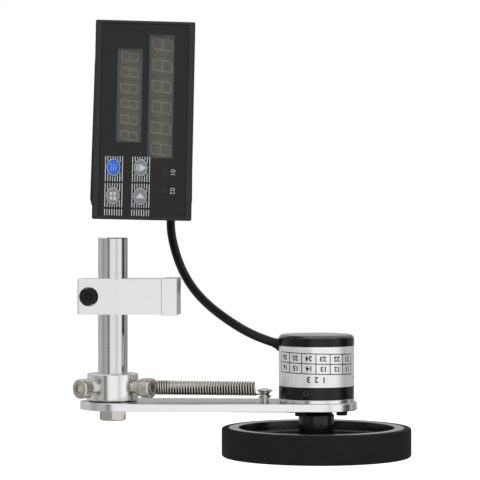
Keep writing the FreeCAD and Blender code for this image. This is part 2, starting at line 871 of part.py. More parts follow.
def make_encoder_cap():
    inner = encoder_bore_radius - snug - encoder_wall
    under = label_top
    skirt_bottom = label_top - encoder_wall
    skirt = encoder_bore_radius - snug
    ceiling = cap_top - encoder_wall
    lean = encoder_cap_round * (1 - math.sqrt(0.5))
    arc_start = V(encoder_radius, 0, cap_top - encoder_cap_round)
    arc_end = V(encoder_radius - encoder_cap_round, 0, cap_top)
    arc_middle = V(encoder_radius - lean, 0, cap_top - lean)
    corners = [arc_end, V(0, 0, cap_top), V(0, 0, ceiling), V(inner, 0, ceiling), V(inner, 0, skirt_bottom)]
    corners += [V(skirt, 0, skirt_bottom), V(skirt, 0, under), V(encoder_radius, 0, under), arc_start]
    edges = [Part.Arc(arc_start, arc_middle, arc_end).toShape()]
    for start, end in zip(corners, corners[1:]):
        edges.append(Part.LineSegment(start, end).toShape())
    body = Part.Face(Part.Wire(edges)).revolve(V(0, 0, 0), UP, 360)
    body.translate(V(encoder_x, 0, 0))
    return body.cut(gland_root_block(gland_root_width + 2 * snug, gland_root))


def make_bearings():
    bore = shaft_diameter + 2 * running
    floor = arm_bottom + encoder_wall / 2 + touch
    lower = ring(bearing_diameter, bore, bearing_width, at_height(encoder_axis, floor))
    upper = lower.copy()
    upper.translate(UP * (bearing_width + bearing_spacing))
    return Part.makeCompound([lower, upper])


def make_encoder_shaft():
    top = arm_top + disc_height + disc_thickness + disc_hub_height
    start = at_height(encoder_axis, wheel_bottom + dish_depth)
    return cylinder(shaft_diameter, top - start.z, start)


def make_code_disc():
    start = at_height(encoder_axis, arm_top + disc_height)
    bore = shaft_diameter + 2 * snug
    disc = ring(disc_diameter, bore, disc_thickness, start)
    hub = ring(disc_hub_diameter, bore, disc_hub_height, start + UP * disc_thickness)
    return joined([disc, hub])


def make_code_reader():
    """Reader round the disc's edge: its lamp is under the board and its sensor below the disc."""
    outer = encoder_bore_radius - free_gap - encoder_wall
    low_x = encoder_x + disc_diameter / 2 - reader_depth / 2
    low = V(low_x, -reader_width / 2, arm_top + disc_height - reader_depth)
    high = V(encoder_x + outer, reader_width / 2, arm_top + encoder_board_height - touch)
    body = block(low, high)
    slot_low = V(low.x - overrun, low.y - overrun, arm_top + disc_height - 2 * free_gap)
    slot_top = arm_top + disc_height + disc_thickness + 2 * free_gap
    slot_high = V(encoder_x + disc_diameter / 2 + 2 * free_gap, high.y + overrun, slot_top)
    return body.cut(block(slot_low, slot_high))


def make_encoder_board():
    start = at_height(encoder_axis, arm_top + encoder_board_height)
    bore = disc_hub_diameter + 4 * free_gap
    return ring(2 * (encoder_bore_radius - snug), bore, encoder_board_thickness, start)


def make_side_screw():
    place, direction = side_screw_axis()
    under = place + direction * (encoder_radius - side_screw_head_height + touch)
    head = prism(side_screw_head / 2, small_sides, side_screw_head_height, under, direction)
    shank = prism(side_screw_diameter / 2, small_sides, encoder_wall + label_thickness, under, direction * -1)
    key = hexagon(side_screw_diameter / 2, side_screw_head_height, under + direction * touch, direction)
    return joined([head, shank]).cut(key)


def make_encoder_screws():
    screws = []
    for place in encoder_screw_places():
        under = at_height(place, arm_bottom - touch)
        length = encoder_screw_length - encoder_flange_thickness
        head = prism(encoder_screw_head / 2, small_sides, encoder_screw_head_height, under, DOWN)
        shank = prism(encoder_screw_diameter / 2, small_sides, length, under, UP)
        key_start = under + DOWN * (encoder_screw_head_height / 2)
        key = hexagon(encoder_screw_key, encoder_screw_head_height, key_start, DOWN)
        screws.append(joined([head, shank]).cut(key))
    return Part.makeCompound(screws)


def make_tyre():
    inner = rim_radius + snug
    outline = [(inner, wheel_bottom), (wheel_radius - wheel_edge, wheel_bottom)]
    outline += [(wheel_radius, wheel_bottom + wheel_edge)]
    outline += [(wheel_radius, wheel_top - wheel_edge), (wheel_radius - wheel_edge, wheel_top)]
    outline.append((inner, wheel_top))
    return turned(outline, encoder_axis, UP)


def make_rim():
    inner = hub_radius + snug
    web_top = wheel_top - dish_depth
    web_bottom = wheel_bottom + dish_depth
    outline = [(inner, web_bottom), (dish_radius, web_bottom)]
    outline += [(dish_radius, wheel_bottom), (rim_radius, wheel_bottom), (rim_radius, wheel_top)]
    outline += [(dish_radius, wheel_top), (dish_radius, web_top), (inner, web_top)]
    return turned(outline, encoder_axis, UP)


def make_hub():
    bottom = wheel_bottom + dish_depth - hub_chamfer_down
    bore = shaft_diameter / 2 + snug
    outline = [(bore, bottom), (hub_radius, bottom), (hub_radius, hub_top - hub_chamfer_down)]
    outline += [(hub_radius - hub_chamfer_in, hub_top), (bore, hub_top)]
    body = turned(outline, encoder_axis, UP)
    start = at_height(encoder_axis, hub_top - grub_drop)
    tap = grub_diameter + 2 * thread_clearance
    return body.cut(cylinder(tap, hub_radius + overrun, start, heading(grub_angle)))


def make_grub_screw():
    direction = heading(grub_angle)
    start = at_height(encoder_axis, hub_top - grub_drop) + direction * (shaft_diameter / 2 + touch)
    length = hub_radius - shaft_diameter / 2 - hub_chamfer_down / 2
    screw = cylinder(grub_diameter, length, start, direction)
    key_start = start + direction * (length - grub_key)
    return screw.cut(hexagon(grub_key, grub_key + overrun, key_start, direction))


def housing_space(clearance):
    """The round space that the encoder's housing and cap fill, grown by clearance."""
    start = at_height(encoder_axis, arm_top)
    return cylinder(encoder_diameter + 2 * clearance, cap_top - arm_top, start)


def make_gland():
    start, direction = gland_line()
    slim = cable_diameter / 2
    wide = gland_diameter / 2
    # Distances run back from the outer end, towards the housing.
    outline = [(0, 0), (slim + gland_lip, 0), (slim + 2 * gland_lip, -gland_proud / 2), (wide, -gland_proud)]
    outline += [(wide, -gland_proud - gland_root / 2), (0, -gland_proud - gland_root / 2)]
    flare = turned(outline, start, direction)
    root = gland_root_block(gland_root_width, 0)
    return joined([flare.cut(housing_space(touch)), root])


def arc_corner(before, corner, after):
    """The two tangent points and the middle of the arc that rounds a corner of the cable's route."""
    back = unit(before - corner)
    on = unit(after - corner)
    half_turn = (math.pi - math.acos(max(-1.0, min(1.0, back.dot(on))))) / 2
    shorter = min((before - corner).Length, (after - corner).Length)
    radius = arc_share * shorter / math.tan(half_turn)
    trim = radius * math.tan(half_turn)
    inward = unit(back + on)
    middle = corner + inward * (radius / math.cos(half_turn) - radius)
    return corner + back * trim, middle, corner + on * trim, radius


def tube(name, points, diameter, sides, tell=True):
    """Round tube along straight runs joined by tangent arcs."""
    edges = []
    place = points[0]
    radii = []
    for before, corner, after in zip(points, points[1:], points[2:]):
        first, middle, last, radius = arc_corner(before, corner, after)
        edges.append(Part.LineSegment(place, first).toShape())
        edges.append(Part.Arc(first, middle, last).toShape())
        radii.append(round(radius, 1))
        place = last
    edges.append(Part.LineSegment(place, points[-1]).toShape())
    section = wire_section(points[0], unit(points[1] - points[0]), diameter, sides)
    solid = Part.Wire(edges).makePipeShell([section], True, False)
    length = sum(edge.Length for edge in edges)
    area = math.pi * diameter ** 2 / 4
    if tell:
        print(name, "radii", radii, "length", round(length, 1))
        print(name, "volume", round(solid.Volume, 1), "against", round(area * length, 1))
    return solid


def make_cables():
    points = cable_points()
    seam = (points[lower_point_count - 1] + points[lower_point_count]) / 2
    lower = points[:lower_point_count] + [seam]
    upper = [seam] + points[lower_point_count:]
    first = tube("cable_lower", lower, cable_diameter, cable_sides)
    second = tube("cable_upper", upper, cable_diameter, cable_sides)
    return first, second


def meter_placement():
    roll = FreeCAD.Rotation(BACK, meter_roll)
    yaw = FreeCAD.Rotation(UP, meter_yaw)
    return FreeCAD.Placement(meter_place, yaw.multiply(roll))


def on_meter(shape):
    placed = shape.copy()
    placed.Placement = meter_placement().multiply(placed.Placement)
    return placed


def oval(width, height, depth, x, z, start):
    """Oval plug along y with flats round its rim, from start to start + depth."""
    points = []
    for corner in sided_outline(1, oval_sides):
        points.append(V(x + corner.x * width / 2, start, z + corner.y * height / 2))
    return polygon(points).extrude(BACK * depth)


def key_places():
    return [(x, z) for z in (key_upper_z, key_lower_z) for x in (key_left_x, key_right_x)]


def light_places():
    return [(light_x, light_upper_z), (light_x, light_lower_z)]


def windows():
    large = (large_window_x, large_window_z, large_window_height)
    small = (small_window_x, small_window_z, small_window_height)
    return [large, small]


def front_cut(extra, start, depth):
    """Cutting tools for the windows, keys and lights of the front, grown by extra on every side."""
    tools = []
    for x, z, height in windows():
        middle = V(x, start + depth / 2, z)
        tools.append(centred_block(window_width + 2 * extra, depth, height + 2 * extra, middle))
    for x, z in key_places():
        width = key_width + 2 * key_clearance
        height = key_height + 2 * key_clearance
        tools.append(oval(width, height, depth, x, z, start))
    for x, z in light_places():
        tools.append(prism(light_diameter / 2 + snug, small_sides, depth, V(x, start, z), BACK))
    return tools


def make_bezel():
    half = V(bezel_width / 2, 0, bezel_height / 2)
    body = block(V(-half.x, 0, -half.z), V(half.x, bezel_depth, half.z))
    corners = [edge for edge in body.Edges if abs(edge.BoundBox.YLength - bezel_depth) < touch]
    body = body.makeFillet(bezel_corner, corners)
    front = [edge for edge in body.Edges if edge.BoundBox.YMax < touch]
    body = body.makeChamfer(bezel_edge, front)
    recess_x = half.x - bezel_side_rib
    recess_z = half.z - bezel_end_rib
    recess = block(V(-recess_x, -overrun, -recess_z), V(recess_x, wall_front, recess_z))
    body = body.cut(recess)
    cavity_x = case_width / 2 - case_wall
    cavity_z = case_height / 2 - case_wall
    cavity = block(V(-cavity_x, wall_back, -cavity_z), V(cavity_x, bezel_depth + overrun, cavity_z))
    body = body.cut(cavity)
    for tool in front_cut(snug, wall_front - overrun, front_wall + 2 * overrun):
        body = body.cut(tool)
    return body


def make_front_sheet():
    x = bezel_width / 2 - bezel_side_rib - snug
    z = bezel_height / 2 - bezel_end_rib - snug
    body = block(V(-x, sheet_front, -z), V(x, sheet_front + sheet_thickness, z))
    for tool in front_cut(0, sheet_front - overrun, sheet_thickness + 2 * overrun):
        body = body.cut(tool)
    return body


def make_window(x, z, height):
    """Window that fills its cut-out, with a lip behind the front wall on all sides but the lower one."""
    depth = wall_back + touch + window_lip - sheet_front
    pane = centred_block(window_width - 2 * snug, depth, height - 2 * snug, V(x, sheet_front + depth / 2, z))
    lip_middle = V(x, wall_back + touch + window_lip / 2, z + window_lip / 2 + snug)
    lip = centred_block(window_width + 2 * window_lip, window_lip, height + window_lip, lip_middle)
    return joined([pane, lip])


def make_digits(x, z, pitch):
    blocks = []
    back = front_board_place - touch
    for k in range(digit_count):
        middle_z = z + (k - (digit_count - 1) / 2) * pitch
        middle = V(x, back - digit_block_depth / 2, middle_z)
        blocks.append(centred_block(digit_block_width, digit_block_depth, pitch - digit_gap, middle))
    return Part.makeCompound(blocks)


def make_key(x, z):
    front = sheet_front - key_proud
    cap = oval(key_width, key_height, wall_back + free_gap - front, x, z, front)
    flange_start = wall_back + free_gap / 3
    flange_middle = V(x, flange_start + key_flange_thickness / 2, z)
    flange_width = key_width + 2 * key_flange
    flange = oval(flange_width, key_height + 2 * key_flange, key_flange_thickness, x, z, flange_start)
    stem_length = switch_front() - key_travel - touch - flange_middle.y
    stem = prism(key_stem_diameter / 2, stem_sides, stem_length, flange_middle, BACK)
    return joined([cap, flange, stem])


def switch_front():
    return front_board_place - switch_body - switch_plunger - touch


def make_switches():
    solids = []
    for x, z in key_places():
        middle = V(x, front_board_place - touch - switch_body / 2, z)
        body = centred_block(switch_width, switch_body, switch_width, middle)
        length = switch_plunger + switch_body / 2
        plunger = prism(switch_plunger_diameter / 2, plunger_sides, length, V(x, switch_front(), z), BACK)
        solids.append(joined([body, plunger]))
    return Part.makeCompound(solids)


def make_lights():
    solids = []
    for x, z in light_places():
        length = front_board_place - touch - sheet_front
        solids.append(prism(light_diameter / 2, small_sides, length, V(x, sheet_front, z), BACK))
    return Part.makeCompound(solids)


def make_front_board():
    middle = V(0, front_board_place + board_thickness / 2, 0)
    return centred_block(front_board_width, board_thickness, board_height, middle)


def main_board_start():
    return front_board_place + board_thickness + touch


def make_main_board():
    start = main_board_start()
    depth = case_back - terminal_root - main_board_end_gap - start
    middle = V(main_board_x, start + depth / 2, 0)
    return centred_block(board_thickness, depth, board_height, middle)


def board_side():
    return main_board_x + board_thickness / 2 + touch


def make_relays():
    solids = []
    for k in range(relay_count):
        y = main_board_start() + relay_depth + k * relay_spacing
        middle = V(board_side() + relay_width / 2, y, board_height * relay_z_share)
        solids.append(centred_block(relay_width, relay_depth, relay_height, middle))
    return Part.makeCompound(solids)


def make_transformer():
    z = board_height * transformer_z_share
    middle = V(board_side() + transformer_width / 2, main_board_start() + transformer_depth, z)
    core = centred_block(transformer_width, transformer_depth, transformer_height, middle)
    slot_middle = middle + RIGHT * transformer_width / 2
    slot = centred_block(transformer_width, transformer_depth / 4, transformer_height / 2, slot_middle)
    return core.cut(slot)


def terminal_length():
    return terminal_count * terminal_pitch + 2 * terminal_end


def clip_groove(side, clearance):
    """Dovetail along the case's side: narrow at the surface and wide inside."""
    surface = case_width / 2
    deep = surface - clip_foot_depth - clearance
    wide = clip_foot_inner / 2 + clearance
    narrow = clip_foot_outer / 2 + clearance
    mouth = surface + overrun
    points = [(deep, -wide), (surface, -narrow), (mouth, -narrow)]
    points += [(mouth, narrow), (surface, narrow), (deep, wide)]
    return [V(side * x, 0, clip_z + z) for x, z in points]


def make_case():
    half = V(case_width / 2, 0, case_height / 2)
    body = block(V(-half.x, case_front, -half.z), V(half.x, case_back, half.z))
    inner = V(half.x - case_wall, 0, half.z - case_wall)
    inner_low = V(-inner.x, case_front - overrun, -inner.z)
    body = body.cut(block(inner_low, V(inner.x, case_back - case_back_wall, inner.z)))
    row_half = V(terminal_row_width / 2 + snug, 0, terminal_length() / 2 + snug)
    for side in (-1, 1):
        outline = clip_groove(side, free_gap)
        start = V(0, case_front + clip_groove_start, 0)
        groove = polygon([point + start for point in outline])
        body = body.cut(groove.extrude(BACK * (case_depth + overrun)))
        low = V(side * terminal_row_x, case_back - case_back_wall - overrun, 0) - row_half
        high = V(side * terminal_row_x, case_back + overrun, 0) + row_half
        body = body.cut(block(low, high))
    return body


def terminal_z(k):
    return (k - (terminal_count - 1) / 2) * terminal_pitch


def make_terminal_block():
    rows = []
    for side in (-1, 1):
        middle = V(side * terminal_row_x, 0, 0)
        low = middle + V(-terminal_row_width / 2, case_back - terminal_root, -terminal_length() / 2)
        high = middle + V(terminal_row_width / 2, case_back + terminal_row_depth, terminal_length() / 2)
        row = block(low, high)
        for k in range(terminal_count):
            pocket_height = terminal_pitch - terminal_barrier
            outer = side * (terminal_row_x + terminal_row_width / 2 + overrun)
            inner = side * (terminal_row_x - terminal_row_width / 2 + terminal_barrier)
            bottom = case_back + terminal_row_depth - terminal_pocket_depth
            z = terminal_z(k)
            pocket_low = V(min(outer, inner), bottom, z - pocket_height / 2)
            top = case_back + terminal_row_depth + overrun
            pocket_high = V(max(outer, inner), top, z + pocket_height / 2)
            row = row.cut(block(pocket_low, pocket_high))
            hole_start = V(side * terminal_row_x, bottom + overrun, z)
            hole = terminal_screw_shank / 2 + thread_clearance
            row = row.cut(prism(hole, terminal_shank_sides, terminal_screw_length, hole_start, FORE))
        rows.append(row)
    return Part.makeCompound(rows)


def make_terminal_screws():
    screws = []
    bottom = case_back + terminal_row_depth - terminal_pocket_depth
    for side in (-1, 1):
        for k in range(terminal_count):
            under = V(side * terminal_row_x, bottom + core_diameter + 2 * touch, terminal_z(k))
            head_radius = terminal_screw_head / 2
            head = prism(head_radius, terminal_head_sides, terminal_screw_head_height, under, BACK)
            length = terminal_screw_length - overrun + core_diameter - touch
            shank = prism(terminal_screw_shank / 2, terminal_shank_sides, length, under, FORE)
            top = under + BACK * terminal_screw_head_height
            slot = centred_block(terminal_screw_head, terminal_screw_head_height, terminal_slot, top)
            screws.append(joined([head, shank]).cut(slot))
    return Part.makeCompound(screws)


def make_clip(side):
    """Sliding clip: a dovetail foot and a tapered plate, whose thick front end bears on the panel."""
    start = V(0, case_front + clip_place, 0)
    foot_points = clip_groove(side, 0.0)
    surface = case_width / 2 + free_gap
    foot = polygon([point + start for point in foot_points]).extrude(BACK * clip_length)
    trim_middle = V(side * (surface + overrun), start.y + clip_length / 2, clip_z)
    foot = foot.cut(centred_block(2 * overrun, clip_length + 2 * overrun, clip_foot_inner, trim_middle))
    outer = surface + clip_plate
    thin = surface + clip_plate * clip_thin_share
    profile = [
        V(side * surface, start.y, 0),
        V(side * outer, start.y, 0),
        V(side * outer, start.y + clip_hook, 0),
        V(side * thin, start.y + clip_hook + outer - thin, 0),
        V(side * thin, start.y + clip_length, 0),
        V(side * surface, start.y + clip_length, 0),
    ]
    low = clip_z - clip_below
    high = clip_z + clip_above
    plate = polygon([point + UP * low for point in profile]).extrude(UP * (high - low))
    taper = [
        V(side * surface, start.y, low),
        V(side * (surface + clip_tip), start.y, low),
        V(side * outer, start.y, low + clip_nose),
        V(side * (surface + clip_tip), start.y, high),
        V(side * surface, start.y, high),
    ]
    plate = plate.common(polygon(taper).extrude(BACK * clip_length))
    return joined([plate, foot])


def core_route(k):
    """Route of one core from the end of the jacket to its terminal, in the counter's frame."""
    before, last = cable_points()[-2:]
    direction = unit(meter_placement().Rotation.inverted().multVec(last - before))
    angle = math.radians(360 / core_count * k + 90)
    side = V(math.cos(angle), math.sin(angle), 0) * core_spread
    start = jacket_end() + side + direction * (touch - side.dot(direction))
    terminal = terminal_z(k)
    height = case_back + terminal_row_depth - terminal_pocket_depth + core_diameter / 2 + free_gap
    edge = terminal_row_x + terminal_row_width / 2
    end = V(terminal_row_x + terminal_screw_shank / 2 + core_diameter, height, terminal)
    near = V(edge + core_stub, height, terminal)
    return [start, start + direction * core_rise, near, end]


def make_cores():
    solids = []
    for k in range(core_count):
        points = core_route(k)
        solids.append(tube("core", points, core_diameter, core_sides, False))
    return Part.makeCompound(solids)


def main():
    write("clamp_block", make_clamp_block())
    write("clamp_screw", make_clamp_screw())
    write("mounting_rod", make_rod())
    write("collar", make_collar())
    write("left_collar_screw", make_collar_screw(collar_screw_left_angle, collar_screw_left_neck))
    write("right_collar_screw", make_collar_screw(collar_screw_right_angle, collar_screw_right_neck))
    write("thrust_washer", make_thrust_washer())
    write("pivot_bolt", make_pivot_bolt())
    write("bolt_washer", make_bolt_washer())
    write("pivot_bush", make_pivot_bush())
    write("arm_plate", make_arm_plate())
    write("spring_post", make_spring_post())
    write("tension_spring", make_spring())
    write("encoder_flange", make_encoder_flange())
    write("encoder_housing", make_encoder_housing())
    write("encoder_label", make_encoder_label())
    write("encoder_cap", make_encoder_cap())
    write("encoder_bearings", make_bearings())
    write("encoder_shaft", make_encoder_shaft())
    write("code_disc", make_code_disc())
    write("code_reader", make_code_reader())
    write("encoder_board", make_encoder_board())
    write("encoder_side_screw", make_side_screw())
    write("encoder_screws", make_encoder_screws())
    write("wheel_tyre", make_tyre())
    write("wheel_rim", make_rim())
    write("wheel_hub", make_hub())
    write("hub_grub_screw", make_grub_screw())
    write("cable_gland", make_gland())
    lower, upper = make_cables()
    write("cable_lower", lower)
    write("cable_upper", upper)
    write("meter_bezel", on_meter(make_bezel()))
    write("front_sheet", on_meter(make_front_sheet()))
    write("large_window", on_meter(make_window(large_window_x, large_window_z, large_window_height)))
    write("small_window", on_meter(make_window(small_window_x, small_window_z, small_window_height)))
    write("large_digits", on_meter(make_digits(large_window_x, large_window_z, large_digit_pitch)))
    write("small_digits", on_meter(make_digits(small_window_x, small_window_z, small_digit_pitch)))
    names = ["blue_key", "right_key", "menu_key", "up_key"]
    for name, (x, z) in zip(names, key_places()):
        write(name, on_meter(make_key(x, z)))
    write("key_switches", on_meter(make_switches()))
    write("alarm_lights", on_meter(make_lights()))
    write("front_board", on_meter(make_front_board()))
    write("main_board", on_meter(make_main_board()))
    write("alarm_relays", on_meter(make_relays()))
    write("transformer", on_meter(make_transformer()))
    write("meter_case", on_meter(make_case()))
    write("terminal_block", on_meter(make_terminal_block()))
    write("terminal_screws", on_meter(make_terminal_screws()))
    write("left_clip", on_meter(make_clip(-1)))
    write("right_clip", on_meter(make_clip(1)))
    write("cable_cores", on_meter(make_cores()))


main()
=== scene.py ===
import math

import bmesh
import bpy
import numpy as np
from mathutils import Matrix, Vector


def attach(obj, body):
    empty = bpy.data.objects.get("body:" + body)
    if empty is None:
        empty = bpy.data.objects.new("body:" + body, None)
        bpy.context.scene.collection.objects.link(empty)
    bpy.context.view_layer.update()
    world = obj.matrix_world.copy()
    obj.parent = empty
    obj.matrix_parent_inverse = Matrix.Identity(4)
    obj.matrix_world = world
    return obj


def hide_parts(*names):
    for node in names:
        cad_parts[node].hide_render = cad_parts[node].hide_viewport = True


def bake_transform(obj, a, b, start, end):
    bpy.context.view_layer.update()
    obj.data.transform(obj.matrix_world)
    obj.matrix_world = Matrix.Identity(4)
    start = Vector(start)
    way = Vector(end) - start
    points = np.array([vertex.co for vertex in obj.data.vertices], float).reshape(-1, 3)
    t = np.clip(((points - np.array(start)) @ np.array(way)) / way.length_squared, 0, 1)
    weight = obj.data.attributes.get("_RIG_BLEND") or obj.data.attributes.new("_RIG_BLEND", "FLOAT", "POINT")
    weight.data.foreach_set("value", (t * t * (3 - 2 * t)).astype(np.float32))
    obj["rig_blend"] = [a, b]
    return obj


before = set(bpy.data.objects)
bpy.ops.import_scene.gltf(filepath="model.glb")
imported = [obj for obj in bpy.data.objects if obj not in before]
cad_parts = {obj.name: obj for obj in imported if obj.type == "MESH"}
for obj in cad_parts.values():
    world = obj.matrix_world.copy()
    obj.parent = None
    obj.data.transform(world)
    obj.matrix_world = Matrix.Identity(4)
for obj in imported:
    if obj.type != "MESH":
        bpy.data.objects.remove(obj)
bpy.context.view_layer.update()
mm = 0.001  # sizes below are in mm and become metres where a mesh is made
mergeWithin = 1.5e-6  # metres
print("stage: frame loaded with", len(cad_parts), "nodes")


# Vectors and meshes

def unit(v):
    v = np.asarray(v, float)
    return v / np.linalg.norm(v, axis=-1, keepdims=True)


def heading(degrees):
    # level direction, turned from +X towards +Y
    a = math.radians(degrees)
    return np.array([math.cos(a), math.sin(a), 0.0])


def sidesOf(axis):
    # two directions square to an axis; for +Z they are X and Y
    axis = unit(axis)
    guide = np.array([1.0, 0, 0]) if abs(axis[0]) < 0.9 else np.array([0, 1.0, 0])
    first = unit(guide - axis * guide.dot(axis))
    return first, np.cross(axis, first)


def softened(profile, reach, steps=3):
    # every corner of a profile becomes a short parabola that starts reach before it and ends reach after it
    p = np.asarray(profile, float)
    before, corner, after = p[:-2, :2], p[1:-1, :2], p[2:, :2]
    lenA = np.linalg.norm(before - corner, axis=1, keepdims=True)
    lenB = np.linalg.norm(after - corner, axis=1, keepdims=True)
    size = np.minimum(reach, 0.45 * np.minimum(lenA, lenB))
    start = corner + (before - corner) / lenA * size
    end = corner + (after - corner) / lenB * size
    t = np.linspace(0, 1, steps + 1)[None, :, None]
    curve = (1 - t) ** 2 * start[:, None] + 2 * t * (1 - t) * corner[:, None] + t ** 2 * end[:, None]
    return np.vstack([p[:1, :2], curve.reshape(-1, 2), p[-1:, :2]])


def gridFaces(rows, columns, closed, offset=0):
    # one quad between each pair of neighbouring rows and columns
    r, c = np.meshgrid(np.arange(rows - 1), np.arange(columns if closed else columns - 1), indexing="ij")
    a = offset + r * columns + c
    b = offset + r * columns + (c + 1) % columns
    return np.stack([a, b, b + columns, a + columns], axis=-1).reshape(-1, 4)


def putMesh(name, points, faces, crease=34.0):
    # new object at the origin; doubles are merged and faces turned outwards
    mesh = bpy.data.meshes.new(name)
    mesh.from_pydata((np.asarray(points, float).reshape(-1, 3) * mm).tolist(), [], faces)
    tidy = bmesh.new()
    tidy.from_mesh(mesh)
    bmesh.ops.remove_doubles(tidy, verts=tidy.verts, dist=mergeWithin)
    bmesh.ops.dissolve_degenerate(tidy, edges=tidy.edges, dist=1e-7)
    bmesh.ops.recalc_face_normals(tidy, faces=tidy.faces)
    tidy.to_mesh(mesh)
    tidy.free()
    mesh.polygons.foreach_set("use_smooth", np.ones(len(mesh.polygons), bool))
    mesh.set_sharp_from_angle(angle=math.radians(crease))
    piece = bpy.data.objects.new(name, mesh)
    bpy.context.scene.collection.objects.link(piece)
    return piece


def surface(name, grids, closed=True, crease=34.0):
    # one object from several grids of points, each rows x columns x 3
    points, faces, offset = [], [], 0
    for grid in grids:
        rows, columns = grid.shape[:2]
        points.append(grid.reshape(-1, 3))
        faces += gridFaces(rows, columns, closed, offset).tolist()
        offset += rows * columns
    return putMesh(name, np.vstack(points), faces, crease)


def hexReach(flats, angles):
    # distance from the middle to a hexagon's side at each angle
    return flats / 2 / np.cos((angles + math.pi / 6) % (math.pi / 3) - math.pi / 6)


plain, knurled, socket, hexHead, threaded = range(5)  # kinds of profile row


def turned(profile, centre, axis=(0, 0, 1), columns=96, kinds=None, flats=0.0, pitch=1.0, turn=0.0, stretch=(1, 1)):
    # point(row, angle) = centre + axis * along + (side1 * cos + side2 * sin) * radius, the radius shaped by its kind
    profile = np.asarray(profile, float)
    angles = np.linspace(0, 2 * math.pi, columns, endpoint=False)
    radius = np.repeat(profile[:, :1], columns, axis=1)
    along = profile[:, 1:2]
    if kinds is not None:
        kind = np.asarray(kinds)[:, None]
        ridges = 0.09 * (0.5 + 0.5 * np.cos(36 * angles))[None]
        radius = np.where(kind == knurled, radius - ridges, radius)
        radius = np.where(kind == socket, hexReach(flats, angles)[None] * np.ones_like(radius), radius)
        radius = np.where(kind == hexHead, np.minimum(hexReach(flats, angles)[None], radius), radius)
        wave = np.abs((along / pitch - angles[None] / (2 * math.pi)) % 1 - 0.5) * 2
        radius = np.where(kind == threaded, radius - 0.55 * pitch * (1 - wave), radius)
    axis = unit(axis)
    side1, side2 = sidesOf(axis)
    spin = angles + math.radians(turn)
    cross = side1 * (np.cos(spin) * stretch[0])[:, None] + side2 * (np.sin(spin) * stretch[1])[:, None]
    return np.asarray(centre, float) + axis * along[..., None] + cross[None] * radius[..., None]


def turnedRows(rows, centre, axis, columns, **shape):
    # rows are (radius, along, kind)
    return turned([r[:2] for r in rows], centre, axis, columns, [r[2] for r in rows], **shape)


def tubeGrid(path, radius, sides, guide=(0, 1, 0), radials=None):
    # rings square to the path, each ring's first point on the guide's side, with a pole at each end
    path = np.asarray(path, float)
    tangent = unit(np.gradient(path, axis=0))
    side = np.asarray(guide, float)[None] * np.ones_like(path) if radials is None else radials
    side = unit(side - tangent * np.sum(side * tangent, axis=1, keepdims=True))
    other = np.cross(tangent, side)
    angles = np.linspace(0, 2 * math.pi, sides, endpoint=False)
    ring = side[:, None] * np.cos(angles)[None, :, None] + other[:, None] * np.sin(angles)[None, :, None]
    rings = path[:, None] + ring * radius
    ends = np.repeat(path[[0, -1], None], sides, axis=1)
    return np.concatenate([ends[:1], rings, ends[1:]])


def extruded(name, outlines, low, high, place, crease=34.0):
    # each flat outline (x, z) becomes a prism from depth low to depth high; place moves its points where they go
    outlines = np.asarray(outlines, float)
    count, corners = outlines.shape[:2]
    front = np.stack([outlines[..., 0], np.full((count, corners), low), outlines[..., 1]], axis=-1)
    back = np.stack([outlines[..., 0], np.full((count, corners), high), outlines[..., 1]], axis=-1)
    points = np.concatenate([front, back], axis=1).reshape(-1, 3)
    first = (np.arange(count) * 2 * corners)[:, None]
    ring = np.arange(corners)
    faces = (first + ring).tolist() + (first + corners + ring[::-1]).tolist()
    following = (ring + 1) % corners
    sides = np.stack([ring, following, following + corners, ring + corners], axis=-1)[None] + first[..., None]
    faces += sides.reshape(-1, 4).tolist()
    return putMesh(name, place(points), faces, crease)


def edged(node, name, width, joinAngle=1.0, segments=2, limit=38.0):
    # copy of a CAD node with its triangles joined into whole faces and its sharp edges broken by a small bevel
    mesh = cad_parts[node].data.copy()
    mesh.name = name
    tidy = bmesh.new()
    tidy.from_mesh(mesh)
    bmesh.ops.remove_doubles(tidy, verts=tidy.verts, dist=mergeWithin)
    bmesh.ops.dissolve_limit(tidy, angle_limit=math.radians(joinAngle), verts=tidy.verts, edges=tidy.edges)
    tidy.to_mesh(mesh)
    tidy.free()
    mesh.materials.clear()
    for attribute in [a.name for a in mesh.attributes if a.name in ("custom_normal", "sharp_edge", "sharp_face")]:
        mesh.attributes.remove(mesh.attributes[attribute])
    mesh.polygons.foreach_set("use_smooth", np.ones(len(mesh.polygons), bool))
    piece = bpy.data.objects.new(name, mesh)
    bpy.context.scene.collection.objects.link(piece)
    bevel = piece.modifiers.new("edges", "BEVEL")
    bevel.width = width * mm
    bevel.segments = segments
    bevel.limit_method = "ANGLE"
    bevel.angle_limit = math.radians(limit)
    bevel.harden_normals = True
    return piece


def fit(piece, body, finish, slot, *nodes):
    # a piece rides on its body, takes its finish and stands for its CAD nodes
    piece.data.materials.append(finishes[finish])
    if nodes:
        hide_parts(*nodes)
    if body:
        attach(piece, body)
    return piece


def lathe(name, profile, reach, centre, columns, *fitting):
    # turned piece whose profile has softened corners, fitted
    return fit(surface(name, [turned(softened(profile, reach), centre, columns=columns)]), *fitting)


def dress(finish, *names):
    # CAD nodes whose shape stays get a finish
    for name in names:
        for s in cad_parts[name].material_slots:
            s.material = finishes[finish]


def refinish(piece, finish, chosen):
    # second finish on the faces that chosen picks from their middles (in mm) and normals
    polygons = piece.data.polygons
    middles, normals = np.zeros(len(polygons) * 3), np.zeros(len(polygons) * 3)
    polygons.foreach_get("center", middles)
    polygons.foreach_get("normal", normals)
    picked = chosen(middles.reshape(-1, 3) / mm, normals.reshape(-1, 3))
    piece.data.materials.append(finishes[finish])
    index = np.zeros(len(polygons), np.int32)
    polygons.foreach_get("material_index", index)
    index[picked] = len(piece.data.materials) - 1
    polygons.foreach_set("material_index", index)


# Finishes

